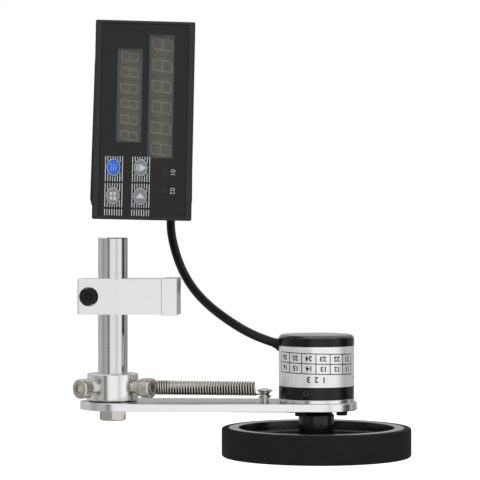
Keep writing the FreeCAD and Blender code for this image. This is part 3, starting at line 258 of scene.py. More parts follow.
def addNode(tree, kind, **values):
    node = tree.nodes.new(kind)
    for key, value in values.items():
        if key in node.inputs:
            node.inputs[key].default_value = value
        else:
            setattr(node, key, value)
    return node


def join(source, output, target, entry):
    source.id_data.links.new(source.outputs[output], target.inputs[entry])


def triple(v):
    # one number stands for three equal ones
    return v if isinstance(v, tuple) else (v, v, v)


# entries of the shader that a look may set, with the value they have otherwise
shaderEntries = (("Metallic", "metal", 0.0), ("Specular IOR Level", "specular", 0.5), ("Coat Weight", "coat", 0.0),
                 ("Coat Roughness", "coatRoughness", 0.1), ("Alpha", "alpha", 1.0))
noiseSpan = (0.36, 0.64)  # most of the mixed noise lies in here


def makeFinish(name, look):
    # A stretched fine noise is the grain and a coarse one the handling marks. Together they shift the colour between
    # low and high and the roughness about its middle, and the grain lifts the surface.
    material = bpy.data.materials.new(name)
    material.use_nodes = True
    tree = material.node_tree
    shader = tree.nodes["Principled BSDF"]
    for entry, key, usual in shaderEntries:
        shader.inputs[entry].default_value = look.get(key, usual)
    place = addNode(tree, "ShaderNodeTexCoord")
    stretch = addNode(tree, "ShaderNodeMapping", Scale=triple(look["grain"]))
    grain = addNode(tree, "ShaderNodeTexNoise", Scale=1.0, Detail=look.get("detail", 3.0), Roughness=0.6)
    marks = addNode(tree, "ShaderNodeTexNoise", Scale=look.get("marks", 90.0), Detail=4.0, Roughness=0.55)
    join(place, "Object", stretch, "Vector")
    join(stretch, "Vector", grain, "Vector")
    join(place, "Object", marks, "Vector")
    both = addNode(tree, "ShaderNodeMix", data_type="FLOAT", Factor=look.get("markShare", 0.4))
    join(grain, "Fac", both, "A")
    join(marks, "Fac", both, "B")
    ramp = addNode(tree, "ShaderNodeValToRGB")
    for element, position, key in zip(ramp.color_ramp.elements, noiseSpan, ("low", "high")):
        element.position = position
        element.color = (*triple(look[key]), 1)
    join(both, "Result", ramp, "Fac")
    join(ramp, "Color", shader, "Base Color")
    spread = look.get("spread", 0.05)
    rough = addNode(tree, "ShaderNodeMapRange", **{"From Min": noiseSpan[0], "From Max": noiseSpan[1],
                                                   "To Min": look["rough"] - spread, "To Max": look["rough"] + spread})
    join(both, "Result", rough, "Value")
    join(rough, "Result", shader, "Roughness")
    bump = addNode(tree, "ShaderNodeBump", Strength=look.get("bump", 0.1), Distance=look.get("height", 1e-5))
    join(grain, "Fac", bump, "Height")
    join(bump, "Normal", shader, "Normal")
    return material


metalLooks = {
    "milledAluminium": dict(low=(0.93, 0.93, 0.925), high=(0.98, 0.98, 0.975), rough=0.32, grain=(60, 900, 5200),
                            marks=60, markShare=0.5, bump=0.06),
    "sawnEnd": dict(low=0.72, high=0.87, rough=0.34, spread=0.1, grain=(900, 4200, 90), marks=260, markShare=0.5,
                    bump=0.3),
    "armSide": dict(low=0.90, high=0.95, rough=0.2, spread=0.03, grain=(40, 40, 5200), marks=60, markShare=0.5,
                    bump=0.05),
    # darker copy for the top faces: their own grain, and painted shade for their dimmer reflection at grazing
    "armTopPaintedShade": dict(low=(0.60, 0.595, 0.59), high=(0.70, 0.695, 0.69), rough=0.26, spread=0.05, grain=(90, 3600, 900),
                   marks=70, markShare=0.5, bump=0.08),
    "turnedAluminium": dict(low=(0.86, 0.86, 0.85), high=(0.94, 0.94, 0.93), rough=0.16, spread=0.03,
                            grain=(30, 30, 6000), marks=60, bump=0.06),
    "groundSteel": dict(low=(0.75, 0.745, 0.735), high=(0.81, 0.805, 0.795), rough=0.1, spread=0.03,
                        grain=(20, 20, 5000), marks=50, markShare=0.5, bump=0.04),
    "warmNickel": dict(low=(0.62, 0.585, 0.54), high=(0.74, 0.71, 0.665), rough=0.14, spread=0.04, grain=900,
                       marks=130, markShare=0.7, bump=0.04),
    "springSteel": dict(low=(0.62, 0.575, 0.50), high=(0.76, 0.71, 0.635), rough=0.15, spread=0.04, grain=900,
                        marks=120, markShare=0.7, bump=0.04),
    # painted shade: the dark inside of the spring and the shadowed flanks of its coils
    "springPaintedShade": dict(low=(0.035, 0.028, 0.021), high=(0.075, 0.062, 0.05), rough=0.45, grain=900, marks=160,
                         bump=0.1),
    "bearingSteel": dict(low=(0.55, 0.55, 0.56), high=0.70, rough=0.2, grain=(40, 40, 3000)),
    "bushBronze": dict(low=(0.42, 0.25, 0.11), high=(0.58, 0.36, 0.16), rough=0.33, grain=(80, 80, 2500)),
    "screwBrass": dict(low=(0.60, 0.45, 0.20), high=(0.78, 0.62, 0.32), rough=0.28, grain=900),
}
plasticLooks = {
    "labelFoil": dict(low=(0.83, 0.835, 0.84), high=(0.91, 0.915, 0.92), rough=0.36, spread=0.03, metal=0.65,
                      grain=(2600, 2600, 90), marks=120, markShare=0.25, bump=0.1),
    "blackOxide": dict(low=0.004, high=0.010, rough=0.42, spread=0.06, specular=0.24, grain=1200, marks=300, bump=0.2),
    "grubBlack": dict(low=0.02, high=0.04, rough=0.2, specular=0.85, grain=900, marks=300, bump=0.08),
    "anodisedBlack": dict(low=0.004, high=0.010, rough=0.2, specular=0.48, grain=(60, 60, 3000), marks=80, bump=0.08),
    "ringTop": dict(low=0.012, high=0.03, rough=0.24, specular=0.9, coat=1.0, coatRoughness=0.18, grain=700,
                    marks=140, bump=0.08),
    "tyreRubber": dict(low=0.0055, high=0.0105, rough=0.75, spread=0.08, grain=1500, detail=5, marks=120, bump=0.4,
                       height=3e-5, specular=0.18),
    "housingBlack": dict(low=0.001, high=0.003, rough=0.24, specular=0.4, grain=2400, marks=150, markShare=0.3,
                         bump=0.1),
    "capTop": dict(low=0.004, high=0.009, rough=0.2, specular=0.8, coat=1.0, coatRoughness=0.1, grain=900, marks=120,
                   bump=0.05),
    "meterBlack": dict(low=(0.008, 0.0085, 0.0085), high=(0.0125, 0.013, 0.013), rough=0.5, spread=0.06, specular=0.3,
                       grain=2200, marks=110, markShare=0.3, bump=0.3, height=2e-5),
    "bezelBlack": dict(low=(0.0135, 0.014, 0.014), high=(0.0185, 0.019, 0.019), rough=0.5, spread=0.06, specular=0.3,
                       grain=2200, marks=110, markShare=0.3, bump=0.3, height=2e-5),
    "frontFilm": dict(low=(0.0085, 0.009, 0.009), high=(0.012, 0.0125, 0.0125), rough=0.45, specular=0.25, grain=3800,
                      marks=70, markShare=0.3, bump=0.2),
    "smokedPane": dict(low=(0.106, 0.106, 0.098), high=(0.112, 0.112, 0.104), rough=0.3, specular=0.2, alpha=0.35,
                       grain=900, marks=60, markShare=0.3, bump=0.02),
    "digitFace": dict(low=(0.145, 0.144, 0.135), high=(0.151, 0.150, 0.141), rough=0.6, specular=0.2, grain=1200),
    "digitBar": dict(low=(0.42, 0.37, 0.30), high=(0.48, 0.42, 0.35), rough=0.5, grain=1500),
    "keyBlue": dict(low=(0.002, 0.075, 0.40), high=(0.006, 0.098, 0.50), rough=0.36, grain=2600),
    "keyGrey": dict(low=(0.13, 0.14, 0.145), high=(0.17, 0.18, 0.19), rough=0.4, grain=2600),
    "keyRing": dict(low=(0.28, 0.30, 0.31), high=(0.36, 0.38, 0.40), rough=0.45, grain=2600),
    "printLight": dict(low=(0.37, 0.39, 0.40), high=(0.47, 0.49, 0.50), rough=0.5, grain=2600),
    "printBlue": dict(low=(0.10, 0.20, 0.56), high=(0.16, 0.28, 0.66), rough=0.5, grain=2600),
    # black print, also used as painted shade on the encoder's side screw
    "blackPrintAndPaintedShade": dict(low=0.004, high=0.010, rough=0.5, specular=0.2, grain=2600),
    "lampLens": dict(low=(0.011, 0.012, 0.010), high=(0.021, 0.021, 0.017), rough=0.3, specular=0.25, grain=900),
    "cableJacket": dict(low=0.004, high=0.009, rough=0.5, spread=0.06, specular=0.28, grain=1100, marks=200, bump=0.2,
                        height=2e-5),
    "boardGreen": dict(low=(0.01, 0.09, 0.03), high=(0.02, 0.16, 0.06), rough=0.4, coat=0.4, grain=500),
    "relayBlack": dict(low=(0.02, 0.02, 0.022), high=(0.04, 0.04, 0.042), rough=0.45, grain=900),
    "coilTape": dict(low=(0.55, 0.42, 0.08), high=(0.68, 0.55, 0.14), rough=0.45, grain=(300, 300, 2400)),
    "switchBody": dict(low=0.10, high=0.16, rough=0.5, grain=900),
    "terminalBlack": dict(low=0.010, high=0.018, rough=0.48, grain=1500, bump=0.25),
    "discGlass": dict(low=(0.30, 0.33, 0.34), high=(0.42, 0.45, 0.46), rough=0.12, coat=1.0, grain=400),
}
coreColours = {"brown": (0.12, 0.04, 0.015), "blue": (0.01, 0.05, 0.45), "black": (0.012, 0.012, 0.012),
               "white": (0.72, 0.72, 0.70), "grey": (0.25, 0.25, 0.26)}
finishes = {name: makeFinish(name, dict(look, metal=1.0)) for name, look in metalLooks.items()}
finishes.update({name: makeFinish(name, look) for name, look in plasticLooks.items()})
for colourName, colour in coreColours.items():
    shade = tuple(0.85 * c for c in colour)
    finishes["core_" + colourName] = makeFinish("core_" + colourName,
                                                dict(low=shade, high=colour, rough=0.4, grain=1200))
print("stage:", len(finishes), "finishes")


# Camera

camera = {"place": (0.0855, -1.0406, 0.0284), "turn": 3.0, "lens": 154.8}
cameraData = bpy.data.cameras.new("camera")
cameraData.lens = camera["lens"]
cameraData.sensor_width = 36.0
cameraData.clip_end = 20.0
cameraObject = bpy.data.objects.new("camera", cameraData)
cameraObject.location = camera["place"]
cameraObject.rotation_euler = (math.radians(90), 0, math.radians(camera["turn"]))
bpy.context.scene.collection.objects.link(cameraObject)
bpy.context.scene.camera = cameraObject


# Signal cable, in two lengths that meet in mid-air

cable = {
    "diameter": 4.5,
    "sides": 20,
    "route": [(48.0, 0.0, -23.3), (41.5, 0.0, -21.2), (32.5, 1.9, -17.1), (22.0, 8.4, -10.8), (12.3, 17.2, -3.8),
              (4.7, 24.0, 4.1), (-1.0, 30.2, 13.0), (-5.2, 36.4, 23.2), (-7.8, 42.2, 33.4), (-8.0, 46.2, 42.6),
              (-6.6, 48.2, 48.6)],
    "lowerPoints": 5,
}


def smoothLine(points):
    # points of a NURBS line through the control points, read back as a plain mesh, in mm
    curve = bpy.data.curves.new("route", "CURVE")
    curve.dimensions = "3D"
    spline = curve.splines.new("NURBS")
    spline.points.add(len(points) - 1)
    spline.points.foreach_set("co", np.hstack([np.asarray(points) * mm, np.ones((len(points), 1))]).ravel())
    spline.order_u = 3
    spline.use_endpoint_u = True
    spline.resolution_u = 16
    holder = bpy.data.objects.new("route", curve)
    line = bpy.data.meshes.new_from_object(holder)
    path = np.zeros(len(line.vertices) * 3)
    line.vertices.foreach_get("co", path)
    bpy.data.objects.remove(holder)
    bpy.data.curves.remove(curve)
    bpy.data.meshes.remove(line)
    return path.reshape(-1, 3) / mm


def lineLength(path):
    return float(np.linalg.norm(np.diff(path, axis=0), axis=1).sum())


cablePoints = np.array(cable["route"])
seam = (cablePoints[cable["lowerPoints"] - 1] + cablePoints[cable["lowerPoints"]]) / 2
lowerPath = smoothLine(np.vstack([cablePoints[:cable["lowerPoints"]], seam]))
upperPath = smoothLine(np.vstack([seam, cablePoints[cable["lowerPoints"]:]]))
lowerCable = surface("signal_cable_lower", [tubeGrid(lowerPath, cable["diameter"] / 2, cable["sides"])], crease=50)
upperCable = surface("signal_cable_upper", [tubeGrid(upperPath, cable["diameter"] / 2, cable["sides"])], crease=50)
print("stage: cable", round(lineLength(lowerPath), 1), "and", round(lineLength(upperPath), 1), "mm")
fit(lowerCable, None, "cableJacket", "cable_jacket", "cable_lower")
fit(upperCable, None, "cableJacket", "cable_jacket", "cable_upper")
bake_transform(lowerCable, "rod", "arm", start=tuple(seam * mm), end=tuple(cablePoints[0] * mm))
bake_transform(upperCable, "counter", "rod", start=tuple(cablePoints[-1] * mm), end=tuple(seam * mm))


# Counter's frame

counter = {"place": (-12.9, -49.7, 86.1), "yaw": 6.5, "roll": 1.2, "sheetFront": 0.6}
counterTurn = np.array(Matrix.Rotation(math.radians(counter["yaw"]), 3, "Z")
                       @ Matrix.Rotation(math.radians(counter["roll"]), 3, "Y"))


def onCounter(points):
    # from the counter's own frame (right, into the case, up) to the row frame
    return np.asarray(points, float) @ counterTurn.T + np.array(counter["place"])


# Cable cores behind the counter

cores = {
    "diameter": 1.3, "spread": 1.35, "rise": 5.0, "jacketEnd": (18.12, 96.56, -37.13),
    "height": 92.45, "near": 20.0, "end": 13.3, "pitch": 7.62, "middle": 4,
}
lastRun = unit(cablePoints[-1] - cablePoints[-2]) @ counterTurn
coreGrids = []
for k in range(len(coreColours)):
    turnBy = math.radians(72 * k + 90)
    side = np.array([math.cos(turnBy), math.sin(turnBy), 0]) * cores["spread"]
    start = np.array(cores["jacketEnd"]) + side - lastRun * side.dot(lastRun)
    z = (k - cores["middle"]) * cores["pitch"]
    route = [start, start + lastRun * cores["rise"], (cores["near"], cores["height"], z),
             (cores["end"], cores["height"], z)]
    coreGrids.append(tubeGrid(smoothLine(onCounter(route)), cores["diameter"] / 2, 12, guide=(1, 0, 0)))
corePiece = surface("cable_core_wires", coreGrids, crease=50)
fit(corePiece, "counter", "core_brown", "core_insulation", "cable_cores")
for colourName in list(coreColours)[1:]:
    corePiece.data.materials.append(finishes["core_" + colourName])
facesPerCore = len(corePiece.data.polygons) // len(coreColours)
coreNumber = np.minimum(np.arange(len(corePiece.data.polygons)) // facesPerCore, len(coreColours) - 1)
corePiece.data.polygons.foreach_set("material_index", coreNumber.astype(np.int32))

# Clamp block and its screw

def capScrew(size, underHead, direction, columns=144):
    # socket-head cap screw as one turned surface: shank with its thread, knurled head, hexagonal socket
    shank, head, height, e = size["shank"] / 2, size["head"] / 2, size["height"], size["edge"]
    threadRows = int(size["thread"] / size["pitch"] * 8) + 1
    rows = [(0, -size["length"], plain), (shank - e, -size["length"], plain), (shank, -size["length"] + e, plain)]
    rows += [(shank, -size["thread"] - 0.01, plain)]
    rows += [(shank, a, threaded) for a in np.linspace(-size["thread"], 0.3, threadRows)]
    rows += [(shank - 0.1, 0.0, plain), (head - 0.35, 0.0, plain), (head, 0.35, plain)]
    rows += [(head, 0.36, knurled), (head, height - e - 0.01, knurled), (head, height - e, plain)]
    rows += [(head - 0.12 * e, height - 0.5 * e, plain), (head - 0.5 * e, height - 0.12 * e, plain)]
    rows += [(head - e, height, plain), (size["key"] / 1.72, height, plain)]
    rows += [(size["key"] / 2, height - 0.12, socket), (size["key"] / 2, height - size["keyDepth"], socket)]
    rows += [(size["key"] / 4, height - size["keyDepth"], plain), (0, height - size["keyDepth"] - 0.3, plain)]
    return turnedRows(rows, underHead, direction, columns, flats=size["key"], pitch=size["pitch"])


clamp = {
    "edge": 0.2,
    "screw": dict(shank=5.0, head=8.5, height=5.0, key=4.0, keyDepth=2.5, length=19.8, thread=0.6, pitch=0.8, edge=0.5),
    "screwPlace": (-44.3, -7.32, 0.0),
}
clampPiece = fit(edged("clamp_block", "milled_clamp_block", clamp["edge"]), "counter", "milledAluminium",
                 "machined_aluminium", "clamp_block")
refinish(clampPiece, "sawnEnd", lambda middles, normals: normals[:, 0] > 0.9)
clampScrew = surface("black_clamp_screw", [capScrew(clamp["screw"], clamp["screwPlace"], (0, -1, 0))])
fit(clampScrew, "counter", "blackOxide", "black_steel", "clamp_screw")


# Rod, collar and pivot

rod = {"x": -33.5, "radius": 7.5, "bottom": -52.6, "top": 29.6, "edge": 0.4}
rodAxis = (rod["x"], 0, 0)
profile = [(0, rod["bottom"]), (rod["radius"] - 0.2, rod["bottom"]), (rod["radius"], rod["bottom"] + 0.2),
           (rod["radius"], rod["top"] - rod["edge"]), (rod["radius"] - rod["edge"], rod["top"]), (0, rod["top"])]
lathe("ground_rod", profile, 0.1, rodAxis, 144, "rod", "groundSteel", "polished_steel", "mounting_rod")

collar = {"outer": 13.0, "inner": 7.52, "low": -52.6, "high": -39.0, "edge": 0.4, "middle": -45.8,
          "screw": dict(shank=6.0, head=10.0, height=6.0, key=5.0, keyDepth=3.0, pitch=1.0, edge=0.95),
          "leftAngle": 231.5, "leftNeck": 5.0, "rightAngle": -27.0, "rightNeck": 4.7}
e = collar["edge"]
profile = [(collar["inner"], collar["low"]), (collar["outer"] - e, collar["low"]), (collar["outer"], collar["low"] + e),
           (collar["outer"], collar["high"] - e), (collar["outer"] - e, collar["high"]),
           (collar["inner"] + e, collar["high"]), (collar["inner"], collar["high"] - e),
           (collar["inner"], collar["low"])]
lathe("turned_collar", profile, 0.15, rodAxis, 144, "rod", "turnedAluminium", "nickel_steel", "collar")
for label in ("left", "right"):
    angle, neck = collar[label + "Angle"], collar[label + "Neck"]
    reach = collar["outer"] + neck
    size = dict(collar["screw"], length=reach - rod["radius"] - 0.02, thread=neck + 1.0)
    centre = np.array([rod["x"], 0, collar["middle"]]) + heading(angle) * reach
    fit(surface(label + "_nickel_screw", [capScrew(size, centre, heading(angle))]), "rod", "warmNickel",
        "nickel_steel", label + "_collar_screw")

washers = {"thrust": dict(outer=12.0, low=-52.97, high=-52.62, finish="blackOxide"),
           "bolt": dict(outer=6.5, low=-57.51, high=-57.01, finish="warmNickel")}
bolt = {"flats": 13.0, "head": 5.3, "seat": -57.53, "turn": 3.0, "shank": 4.0, "length": 25.0}
for label, w in washers.items():
    inner = bolt["shank"] + 0.03
    profile = [(inner, w["low"]), (w["outer"], w["low"]), (w["outer"], w["high"]), (inner, w["high"]),
               (inner, w["low"])]
    lathe(label + "_washer_ring", profile, 0.08, rodAxis, 96, "rod", w["finish"], "nickel_steel", label + "_washer")

corner = bolt["flats"] / math.sqrt(3)
face = bolt["flats"] * 0.46
rows = [(0, bolt["length"], plain), (bolt["shank"] - 0.5, bolt["length"], plain),
        (bolt["shank"], bolt["length"] - 0.5, plain)]
rows += [(bolt["shank"], 0, plain), (face, 0.0, plain), (bolt["flats"] * 0.49, 0.0, hexHead), (corner, -0.25, hexHead)]
rows += [(corner - (corner - face) * s, -bolt["head"] + 1.1 * (1 - s), hexHead) for s in np.linspace(0, 1, 6)]
rows += [(0, -bolt["head"], plain)]
boltGrid = turnedRows(rows, (rod["x"], 0, bolt["seat"]), (0, 0, 1), 144, flats=bolt["flats"], turn=bolt["turn"])
fit(surface("hexagon_pivot_bolt", [boltGrid], crease=25), "rod", "warmNickel", "nickel_steel", "pivot_bolt")
print("stage: clamp, rod, collar and pivot")


# Arm plate and spring post

armPiece = fit(edged("arm_plate", "milled_arm_plate", 0.15), "arm", "armSide", "machined_aluminium", "arm_plate")
# the top faces take the darker copy: painted shade for their dimmer reflection, with their own grain
refinish(armPiece, "armTopPaintedShade", lambda middles, normals: np.abs(normals[:, 2]) > 0.9)
fit(edged("spring_post", "slotted_spring_post", 0.05, limit=30), "arm", "warmNickel", "nickel_steel", "spring_post")
dress("bushBronze", "pivot_bush")


# Tension spring

spring = {"outer": 7.6, "wire": 1.15, "coils": 37, "closedCoils": 5, "closedPitch": 1.18, "sides": 12,
          "stepsPerTurn": 28, "firstAngle": 30.0, "lastAngle": 180.0, "start": (-11.5, -0.3, -46.19),
          "end": (38.7, 0.0, -46.59), "seatShare": 0.72, "neck": 3.0, "head": 5.0, "post": (43.5, 0.0, -50.39),
          "postNeck": 2.0, "slack": 0.15, "tilt": 0.4, "inward": 1.2, "flank": 0.66,
          "endSlope": 40.0, "lift": (0.80, 0.72, 0.6)}


def bentLine(points, headings, steps=14):
    # cubic through each pair of points with a heading at each; its handles are as long as on an arc of that turn
    p, h = np.array(points, float), unit(np.array(headings, float))
    t = np.linspace(0, 1, steps, endpoint=False)[None, :, None]
    chord = np.linalg.norm(p[1:] - p[:-1], axis=1)[:, None]
    turn = np.arccos(np.clip(np.sum(h[1:] * h[:-1], axis=1), -1, 1))[:, None]
    reach = chord / (1.5 * (1 + np.cos(turn / 2)))
    a, d = p[:-1, None], p[1:, None]
    b, c = a + (h[:-1] * reach)[:, None], d - (h[1:] * reach)[:, None]
    return ((1 - t) ** 3 * a + 3 * t * (1 - t) ** 2 * b + 3 * t * t * (1 - t) * c + t ** 3 * d).reshape(-1, 3)


def springLine(s):
    # coil point = axis point + radius * (0, -sin, cos)(angle); each hook is a bent line round its neck
    radius = (s["outer"] - s["wire"]) / 2
    turns = s["coils"] + (s["lastAngle"] - s["firstAngle"]) / 360
    done = np.linspace(0, turns, int(turns * s["stepsPerTurn"]))[:, None]
    angle = math.radians(s["firstAngle"]) + 2 * math.pi * done
    start, end = np.array(s["start"]), np.array(s["end"])
    length = np.linalg.norm(end - start)
    openPitch = (length - s["closedCoils"] * s["closedPitch"]) / (turns - s["closedCoils"])
    along = np.minimum(done, s["closedCoils"]) * s["closedPitch"] + np.maximum(done - s["closedCoils"], 0) * openPitch
    coil = start + (end - start) * along / length
    coil = coil + np.hstack([np.zeros_like(angle), -np.sin(angle), np.cos(angle)]) * radius
    firstWay, lastWay = coil[1] - coil[0], coil[-1] - coil[-2]
    up = np.array([0, 0, 1.0])
    out = heading(collar["rightAngle"])
    back = np.array([-out[1], out[0], 0])
    loop = s["neck"] + s["wire"] / 2 + s["slack"]
    middle = np.array([rod["x"], 0, collar["middle"]]) + out * (collar["outer"] + collar["rightNeck"] * s["seatShare"])
    slope = math.radians(s["endSlope"])
    tip = middle + back * (loop * math.cos(slope)) - up * (loop * math.sin(slope))
    tipWay = -back * math.sin(slope) - up * math.cos(slope)
    pastHead = s["head"] + s["wire"] / 2 + 2 * s["slack"]
    liftBack, liftUp, liftOut = s["lift"]
    lifted = middle + back * (pastHead * liftBack) + up * (pastHead * liftUp) + out * (s["wire"] * liftOut)
    left = bentLine([tip, middle - up * loop, middle - back * loop, middle + up * loop, lifted, coil[0]],
                    [tipWay, -back, up, back, back * 0.75 + out * 0.65, firstWay])
    postLoop = s["postNeck"] + s["wire"] / 2 + s["slack"]
    post = np.array(s["post"])
    right, fore = np.array([1.0, 0, 0]), np.array([0, -1.0, 0])
    cosEnd, sinEnd = math.cos(slope), math.sin(slope)
    drop = up * s["tilt"]
    freeEnd = post - right * (postLoop * sinEnd) + fore * (postLoop * cosEnd) - drop
    freeWay = -right * cosEnd - fore * sinEnd
    hook = bentLine([coil[-1], post - right * radius - fore * postLoop + drop + up * (s["wire"] / 3),
                     post - fore * postLoop + drop, post + right * postLoop, post + fore * postLoop - drop, freeEnd],
                    [lastWay, right - up * 0.15, right, fore - drop / postLoop, -right, freeWay])
    return np.vstack([tip - tipWay * s["wire"], left, coil[:-1], hook, freeEnd, freeEnd + freeWay * s["wire"]])


def paintedShadeOnCoils(middles, normals):
    # faces of the coils that look towards the spring's axis or straight at the next coil; they take painted shade for
    # the shadow inside the spring and on the coils' flanks
    start, end = np.array(spring["start"]), np.array(spring["end"])
    share = (middles[:, 0] - start[0]) / (end[0] - start[0])
    outwards = middles - (start + (end - start) * share[:, None])
    hidden = (np.sum(outwards * normals, axis=1) < -spring["inward"]) | (np.abs(normals[:, 0]) > spring["flank"])
    return (share > -0.01) & (share < 1.01) & hidden


springPath = springLine(spring)
springRadials = np.cross(unit(np.gradient(springPath, axis=0)), np.array([1.0, 0.02, 0.03]))
springGrid = tubeGrid(springPath, spring["wire"] / 2, spring["sides"], radials=springRadials)
springPiece = fit(surface("coiled_tension_spring", [springGrid], crease=60), None, "springSteel", "spring_wire",
                  "tension_spring")
# the coils' inner faces and flanks take painted shade
refinish(springPiece, "springPaintedShade", paintedShadeOnCoils)
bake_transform(springPiece, "rod", "arm", start=(-0.0145, -0.004, -0.0456), end=(0.0395, 0.0, -0.0456))
print("stage: arm and spring")


# Encoder

encoder = {"x": 69.5, "radius": 19.0, "flangeRadius": 19.25, "bandBottom": -51.09, "bandTop": -44.79,
           "labelTop": -24.69, "capTop": -18.99, "capRound": 2.2, "wall": 1.8, "labelSeam": 186.0, "seamWidth": 1.2,
           "foil": 0.19,
           "screwCircle": 15.0, "screwAngle": -31.0, "screwCount": 4, "screwSeat": -57.01,
           "screw": dict(shank=3.0, head=5.5, height=2.2, key=2.0, keyDepth=1.1, length=6.1, thread=0.4, pitch=0.5,
                         edge=0.3)}
encoderAxis = (encoder["x"], 0, 0)
drum = encoder["radius"]
profile = [(10, -52.97), (encoder["flangeRadius"], -52.97), (encoder["flangeRadius"], encoder["bandBottom"]),
           (17.2, encoder["bandBottom"]), (17.2, -49.5), (9.0, -49.5), (9.0, -42.0), (6.6, -42.0), (6.6, -56.9),
           (10, -56.9), (10, -52.97)]
lathe("turned_encoder_flange", profile, 0.25, encoderAxis, 144, "arm", "turnedAluminium", "machined_aluminium",
      "encoder_flange")
fit(edged("encoder_housing", "encoder_body_band", 0.12), "arm", "housingBlack", "black_plastic", "encoder_housing")

lip, top, bend = encoder["labelTop"], encoder["capTop"], encoder["capRound"]
profile = [(drum - encoder["wall"], lip - 1.6), (drum - encoder["wall"], lip), (drum, lip + 0.02), (drum, top - bend)]
arc = np.radians(np.linspace(8, 82, 9))
profile += list(zip(drum - bend * (1 - np.cos(arc)), top - bend * (1 - np.sin(arc))))
profile += [(drum - bend, top), (0, top), (0, top - 1.6), (drum - 3.4, top - 1.6), (drum - 3.4, lip - 1.6),
            (drum - encoder["wall"], lip - 1.6)]
capPiece = fit(surface("encoder_top_cap", [turned(profile, encoderAxis, columns=144)]), "arm", "housingBlack",
               "black_plastic", "encoder_cap")
refinish(capPiece, "capTop", lambda middles, normals: normals[:, 2] > 0.25)

# the label is an open strip of foil round the housing, from one side of its seam to the other
seamHalf = math.degrees(encoder["seamWidth"] / 2 / drum)
wrap = np.radians(np.linspace(encoder["labelSeam"] + seamHalf, encoder["labelSeam"] + 360 - seamHalf, 181))
low, high = encoder["bandTop"] + 0.03, encoder["labelTop"] - 0.03
inside = drum - encoder["foil"]
strip = np.array([(inside, low), (drum, low), (drum, low + 0.2), (drum, high - 0.2), (drum, high), (inside, high),
                  (inside, low)])
foil = np.stack([encoder["x"] + strip[:, :1] * np.cos(wrap), strip[:, :1] * np.sin(wrap), strip[:, 1:] + 0 * wrap],
                axis=-1)
foilFaces = gridFaces(len(strip), len(wrap), False).tolist()
foilFaces += [[r * len(wrap) for r in range(6)], [r * len(wrap) + len(wrap) - 1 for r in range(6)]]
fit(putMesh("encoder_foil_label", foil, foilFaces), "arm", "labelFoil", "label_foil", "encoder_label")

gland = {"start": (48.0, 0, -23.3), "lean": 18.0}
lean = math.radians(gland["lean"])
profile = [(0, 0), (2.42, 0), (2.5, -0.8), (2.7, -1.8), (3.4, -3.2), (3.4, -4.3), (0, -4.3)]
glandGrid = turned(softened(profile, 0.4, 4), gland["start"], (-math.cos(lean), 0, math.sin(lean)), 64)
fit(surface("cable_gland_flare", [glandGrid]), "arm", "cableJacket", "black_plastic", "cable_gland")

sideScrew = {"angle": 255, "height": -47.625, "ring": 1.07, "ringHalf": 0.28}
centre = np.array([encoder["x"], 0, sideScrew["height"]]) + heading(sideScrew["angle"]) * drum
rows = [(0, -2.0, plain), (1.25, -2.0, plain), (1.25, -0.5, plain), (1.75, -0.5, plain), (1.78, -0.06, plain),
        (1.7, 0.01, plain), (1.4, 0.01, plain), (0.85, 0.01, plain), (0.65, -0.1, socket), (0.65, -0.5, socket),
        (0, -0.5, plain)]
sideWay, sideCentre = heading(sideScrew["angle"]), centre
grubPiece = fit(surface("encoder_side_grub", [turnedRows(rows, centre, sideWay, 72, flats=1.3)]), "arm",
                "grubBlack", "nickel_steel", "encoder_side_screw")


def paintedShadeOffRing(middles, normals):
    # its socket and its outer edge, painted shade that makes them darker than the ring between them
    reach = np.linalg.norm(np.cross(middles - sideCentre, sideWay), axis=1)
    return np.abs(reach - sideScrew["ring"]) > sideScrew["ringHalf"]


# painted shade in the socket and round the screw's edge
refinish(grubPiece, "blackPrintAndPaintedShade", paintedShadeOffRing)
screwTurns = encoder["screwAngle"] + 360 / encoder["screwCount"] * np.arange(encoder["screwCount"])
seats = [np.array([encoder["x"], 0, encoder["screwSeat"]]) + heading(a) * encoder["screwCircle"] for a in screwTurns]
fit(surface("encoder_fixing_screws", [capScrew(encoder["screw"], seat, (0, 0, -1), 72) for seat in seats]), "arm",
    "blackOxide", "black_steel", "encoder_screws")
dress("bearingSteel", "encoder_bearings", "encoder_shaft")
dress("boardGreen", "encoder_board")
dress("relayBlack", "code_reader")
dress("discGlass", "code_disc")

# print on the label: (right, depth, up) bent round the drum; right is counted from the front, and the rows lean
table = {"left": -21.7, "right": 21.8, "columns": 6, "rowsAt": (-28.0, -33.0, -38.0), "line": 0.42, "tilt": 1.5,
         "letter": 2.4, "markLetter": 2.8, "marksAt": -40.9,
         "dash": (25.6, 26.1), "dashRows": ((-29.6, 0.6), (-39.6, 1.0)), "weight": 0.11}


def onDrum(points):
    p = np.asarray(points, float)
    angle = p[:, 0] / drum
    radius = drum - p[:, 1]
    up = p[:, 2] - p[:, 0] * math.tan(math.radians(table["tilt"]))
    return np.stack([encoder["x"] + radius * np.sin(angle), -radius * np.cos(angle), up], axis=-1)


